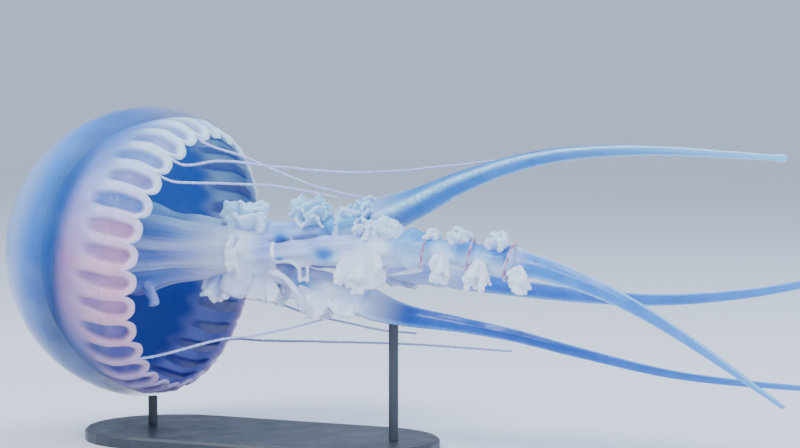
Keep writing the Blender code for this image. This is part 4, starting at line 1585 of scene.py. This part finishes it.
def make_arms() -> list[Arm]:
    """Describes the four arms: upper, near, lower and far."""
    upper = Arm(
        side=Side.UPPER,
        route_mm=(
            (100, 0, 20), (190, 0, 27), (242, 0, 46), (292, -3, 68), (341, -6, 84), (388, -10, 93),
            (458, -15, 97), (575, -25, 93),
        ),
        club_x=217,
        radii=((80, 2.5), (104, 10.6), (185, 10.5), (217, 12)),
        frills=(
            Frill(154, 14, 21, -15, 26, TUFT), Frill(159, 12, 15, 35, 30, TUFT),
            Frill(189, 7, 8, 0, 26, SMALL_TUFT),
            Frill(208, 10, 11, -40, 30, TUFT), Frill(210, 8, 10, 55, 30, TUFT),
        ),
        panes=(Pane(178, 80, 30, 80), Pane(130, 110, 16, 60)),
        struts=(Strut(((181, -8, 18), (182, -9.5, 29), (183, -5, 38)), 2.0, 3.6, 0.8),),
        club=Taper(17, 8, 2, 5),
        knob=1.5,
        ridge_turn=95,
        ridge_highlight_spread=0.05,
        twist=-60,
        clear_from=164,
        nodes=("arm_upper",),
        finish=ClubFinish("upper_club", "3d94e2", "2d7ace", "b4ecff", "8ccfff", 0.45),
    )
    near = Arm(
        side=Side.NEAR,
        route_mm=(
            (100, -16, 4), (215, -20, 10), (262, -23, 12), (300, -25, 10), (345, -30, 6),
            (398, -37, -4), (450, -46, -20), (507, -56, -47), (588, -70, -93),
        ),
        club_x=349,
        radii=(
            (80, 2.5), (104, 10.6), (130, 9.4), (155, 11), (185, 13), (215, 13.5), (246, 13.5),
            (257, 16), (266, 11.6), (272, 10.8), (300, 9.2), (312, 10), (342, 11), (350, 12),
        ),
        frills=(
            Frill(214, 20, 30, 88, 16, CURTAIN, 174, 1),
            Frill(221, 14, 23, 80, 24, UNDER_CURTAIN, 167, 1),
            Frill(212, 18, 12, 165), Frill(231, 9, 15, 10, 40, TUFT),
            Frill(214, 6, 12, 2, 30, SMALL_TUFT),
            Frill(276, 3, 6, 0, 35, Cut(lobe_pitch=5, knob=2.3)),
            Frill(300, 4, 13, 0, 38, JOINT_TUFT), Frill(336, 4, 12, 6, 34, JOINT_TUFT),
            Frill(289, 3, 20, 100, 24, JOINT_FAN, 170, 2),
            Frill(325, 3, 22, 100, 24, JOINT_FAN, 172, 2),
            Frill(363, 3, 15, 105, 28, JOINT_FAN, 172, 2),
        ),
        club=Taper(12.5, 8.4, 1.6, 7),
        clear_from=240,
        cuffs=(269, 311, 347),
        panes=(Pane(182, 100, 24, 62), Pane(138, 120, 12, 34)),
        struts=(
            Strut(((206, -20, -6), (236, -24, -9), (268, -23, -3)), 1.3, 4.0, 0.9),
            Strut(((221, -19, 25), (235, -22, 27), (249, -21, 20)), 10.5, 6.5, 1.0),
            Strut(((129, -21, 15), (130, -26, 6), (131, -22, -4)), 1.3, 0.8, 1.0),
            Strut(
                ((131, -22, -2), (145, -24, -1), (153, -22, -7), (152, -17, -20)), 1.6, 2.2, 0.95
            ),
        ),
        nodes=("arm_near_1", "arm_near_2", "arm_near_3"),
        finish=ClubFinish("near_club", "4698ec", "3380de", "a2daff", "69b2f8"),
    )
    lower = Arm(
        side=Side.LOWER,
        route_mm=(
            (100, 0, -12), (170, 0, -24), (212, 0, -39), (246, -1, -46), (290, -3, -50),
            (340, -6, -56), (395, -9, -66), (490, -16, -80), (632, -20, -85),
        ),
        club_x=206,
        radii=((80, 2.5), (104, 10.6), (180, 12), (206, 13)),
        frills=(
            Frill(114, 13, 19, 104, 26, LOW_FOLD, 174, 1), Frill(120, 11, 15, 190, 34, TUFT),
            Frill(163, 18, 12, 104, 20, BROAD_FOLD, 176, 1),
            Frill(167, 5, 21, 108, 26, replace(LOW_FOLD, lobe_pitch=6, thickness=3.0), 176, 1),
            Frill(168, 13, 14, 190, 34),
            Frill(192, 9, 9, 100, 26, replace(LOW_FOLD, swing=0.12, thickness=3.0), 172, 1),
        ),
        panes=(Pane(152, 95, 24, 60),),
        struts=(
            Strut(
                ((120, -13, -10), (138, -18, -16), (151, -17, -30), (153, -9, -46)), 2.6, 5.6, 0.85
            ),
            Strut(((160.5, -18, 0), (160.5, -20, -9), (158, -16, -19)), 1.5, 3.0, 0.95),
        ),
        club=Taper(15, 6.2, 1.6, 9),
        nodes=("arm_lower",),
        finish=ClubFinish("lower_club", "2a66ca", "1c54b6", "68aaf0", "4e98ea", 0.95),
    )
    far = Arm(
        side=Side.FAR,
        route_mm=(
            (100, 16, 4), (190, 18, -3), (300, 29, -19), (430, 39, -27), (520, 46, -19),
            (602, 55, -1),
        ),
        club_x=270,
        radii=((80, 2.5), (104, 10.2), (190, 9.5), (270, 9)),
        frills=(Frill(150, 18, 13, -90), Frill(190, 16, 12, -110), Frill(228, 14, 9, -140)),
        club=Taper(9, 6.4, 2.8, 4),
        nodes=("arm_far",),
        finish=ClubFinish("far_club", "347cd8", "2868c6", "86c2fa", "5aa6f4", 0.95),
    )
    return [upper, near, lower, far]


# ---- tentacles ---------------------------------------------------------------------------------
@dataclass(frozen=True)
class Tentacle:
    """A thread from the notch that is so many lappets round from the top."""

    number: int
    notch: int
    points_mm: Points
    radius: float = 1.15 * MM
    ripple: float = 0.5 * MM
    bead_pitch: float = 0.9 * MM

    def build(self, finish: Material) -> None:
        """Makes the piece with the thread's finish."""
        around = self.notch * 360 / BELL.lappets
        wall = BELL.lining_radius(BELL.notch_angle) - BELL.muscle_thickness / 2
        root = BELL.point(BELL.notch_angle - 1, around, wall)
        clear = BELL.point(BELL.lappet_angle + 4, around, wall)
        route = Route([root, clear, *(from_bell(*p) for p in self.points_mm)])

        def place(u: float, v: float) -> Vector:
            """Gives a point of the thread's skin."""
            distance = route.length * v
            sideways = wander(distance / 0.02, self.number)
            upwards = wander(distance / 0.024, self.number, 5)
            shift = Vector((0, sideways, upwards)) * (self.ripple * ease(0.05, 0.3, v))
            root_swell = 1 + 0.8 * (1 - ease(0.0, 0.05, v))
            thin = mix(1.0, 0.7, v) * root_swell * (1 - ease(0.995, 1.0, v))
            bead = 1 + 0.10 * sin(distance / self.bead_pitch)
            return route.around(distance, tau * u, self.radius * thin * bead) + shift

        def bead(u: float, v: float) -> float:
            """Gives the paler beads."""
            return 0.5 + 0.5 * wander(route.length * v / 0.004, 3 * u, self.number)

        bm = warped_grid(12, 420, place, {"bead": bead})
        close_holes(bm)
        name = f"tentacle_{self.number}"
        piece = add_piece(name + "_skin", bm, finish, Slot.LILAC_THREAD)
        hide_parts(name + "_root", name + "_end")


TENTACLES = (
    Tentacle(1, 1, ((95, -8, 84), (130, -2, 70), (165, 4, 58), (205, 14, 50), (232, 22, 49))),
    Tentacle(2, 3, (
        (90, -42, 82), (140, -25, 77), (195, -5, 73), (245, 12, 76), (296, 20, 82), (330, 24, 86),
    )),
    Tentacle(3, 4, ((80, -66, 65), (105, -55, 64), (135, -42, 63), (165, -30, 58), (190, -22, 53))),
    Tentacle(4, 12, (
        (68, -68, -74), (92, -52, -67), (120, -30, -63), (145, -8, -57), (168, 10, -50),
    )),
    Tentacle(5, 20, (
        (75, 66, -80), (120, 52, -77), (180, 40, -74), (240, 30, -72), (300, 22, -72),
        (330, 18, -72),
    )),
    Tentacle(6, 22, (
        (80, 80, -48), (118, 62, -54), (160, 48, -58), (205, 34, -62), (240, 26, -62),
    )),
    Tentacle(7, 24, ((85, 92, -2), (140, 72, 4), (200, 62, 6), (270, 58, 2), (340, 60, -6))),
    Tentacle(8, 25, ((85, 88, 20), (140, 66, 18), (205, 54, 16), (265, 52, 12), (320, 56, 6))),
)


# ---- display stand -----------------------------------------------------------------------------
@dataclass
class Stand:
    """The finish of the base and rods, which keep their solids."""

    nodes: tuple[str, ...] = ("stand_base", "stand_rod_bell", "stand_rod_arms")

    def dress(self) -> None:
        """Paints the stand."""
        finish = StandPaintFinish().build()
        for name in self.nodes:
            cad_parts[name].material_slots[0].material = finish


# ---- stage, light and camera -------------------------------------------------------------------
@dataclass
class Studio:
    """A pale floor, soft lights and the camera."""

    floor_radius: float = 4.5
    wall_curve: float = 1.6
    wall_height: float = 4.0
    sky: str = "c3cddd"
    sky_strength: float = 1.3
    azimuth: float = 25.0
    elevation: float = 4.0
    distance: float = 2.4
    lens: float = 125.3
    aim: Vector = field(default_factory=lambda: from_bell(193.1, 91.9, 24.0))
    lit: Vector = field(default_factory=lambda: from_bell(150, 0, 0))

    def away(self) -> Vector:
        """Gives the direction from the subject to the camera."""
        turn, rise = radians(self.azimuth), radians(self.elevation)
        flat = cos(rise)
        return Vector((sin(turn) * flat, -cos(turn) * flat, sin(rise)))

    def floor_place(self, u: float, v: float) -> Vector:
        """Gives a point of the floor, which curves up into a round wall."""
        if v < 0.4:
            out, height = self.floor_radius * v / 0.4, 0.0
        else:
            bend = min(1.0, (v - 0.4) / 0.4) * pi / 2
            out = self.floor_radius + self.wall_curve * sin(bend)
            height = self.wall_curve * (1 - cos(bend))
            height += self.wall_height * max(0.0, v - 0.8) / 0.2
        return Vector((*ring(u, out), height))

    def lay_floor(self) -> None:
        """Makes the floor."""
        bm = warped_grid(128, 50, self.floor_place)
        smooth_object("floor", bm, FloorFinish().build())

    def light(self, name: str, place: Vector, size: float, power: float, colour: str) -> None:
        """Adds a soft light that faces the model.

        Args:
            name: The light's name.
            place: Where it stands.
            size: Its width.
            power: Its watts.
            colour: Its sRGB hex colour.
        """
        data = bpy.data.lights.new(name, "AREA")
        data.shape = "DISK"
        data.size = size
        data.energy = power
        data.color = srgb(colour)[:3]
        lamp = bpy.data.objects.new(name, data)
        lamp.location = place
        lamp.rotation_euler = (self.lit - place).to_track_quat("-Z", "Y").to_euler()
        bpy.context.scene.collection.objects.link(lamp)

    def set_sky(self) -> None:
        """Fills the room with even light."""
        world = bpy.context.scene.world or bpy.data.worlds.new("room")
        bpy.context.scene.world = world
        world.use_nodes = True
        background = world.node_tree.nodes["Background"]
        background.inputs["Color"].default_value = srgb(self.sky)
        background.inputs["Strength"].default_value = self.sky_strength

    def place_camera(self) -> None:
        """Sets the camera."""
        data = bpy.data.cameras.new("camera")
        data.lens = self.lens
        camera = bpy.data.objects.new("camera", data)
        away = self.away()
        camera.location = self.aim + away * self.distance
        camera.rotation_euler = away.to_track_quat("Z", "Y").to_euler()
        bpy.context.scene.collection.objects.link(camera)
        bpy.context.scene.camera = camera

    def build(self) -> None:
        """Sets up the whole studio."""
        self.lay_floor()
        self.set_sky()
        self.light("key", Vector((-0.9, -1.3, 2.0)), 1.0, 58, "ffffff")
        self.light("top", Vector((0.3, 0.6, 2.2)), 1.6, 30, "e4edff")
        self.light("rim", Vector((1.6, 1.5, 0.9)), 0.9, 14, "cfe2ff")
        self.light("fill", Vector((1.7, -1.0, 0.7)), 1.2, 16, "f2f6ff")
        self.place_camera()


def main() -> None:
    """Builds the model, its stand and the studio."""
    logging.basicConfig(level=logging.INFO, format="%(name)s: %(message)s")
    flesh = FrillFinish().build()
    thread = ThreadFinish().build()
    Umbrella().build()
    Muscle().build()
    arms = make_arms()
    Trunk(Stalk(), arms).build(flesh)
    for shoulder in SHOULDERS:
        Frills("shoulder_" + shoulder.side.word + "_skin", shoulder.leaves()).build(flesh)
    lip = LipFinish().build()
    for arm in arms:
        arm.build_frills(flesh)
        arm.build_lips(lip)
        arm.build_club()
    for tentacle in TENTACLES:
        tentacle.build(thread)
    Stand().dress()
    Studio().build()


if __name__ == "__main__":
    main()
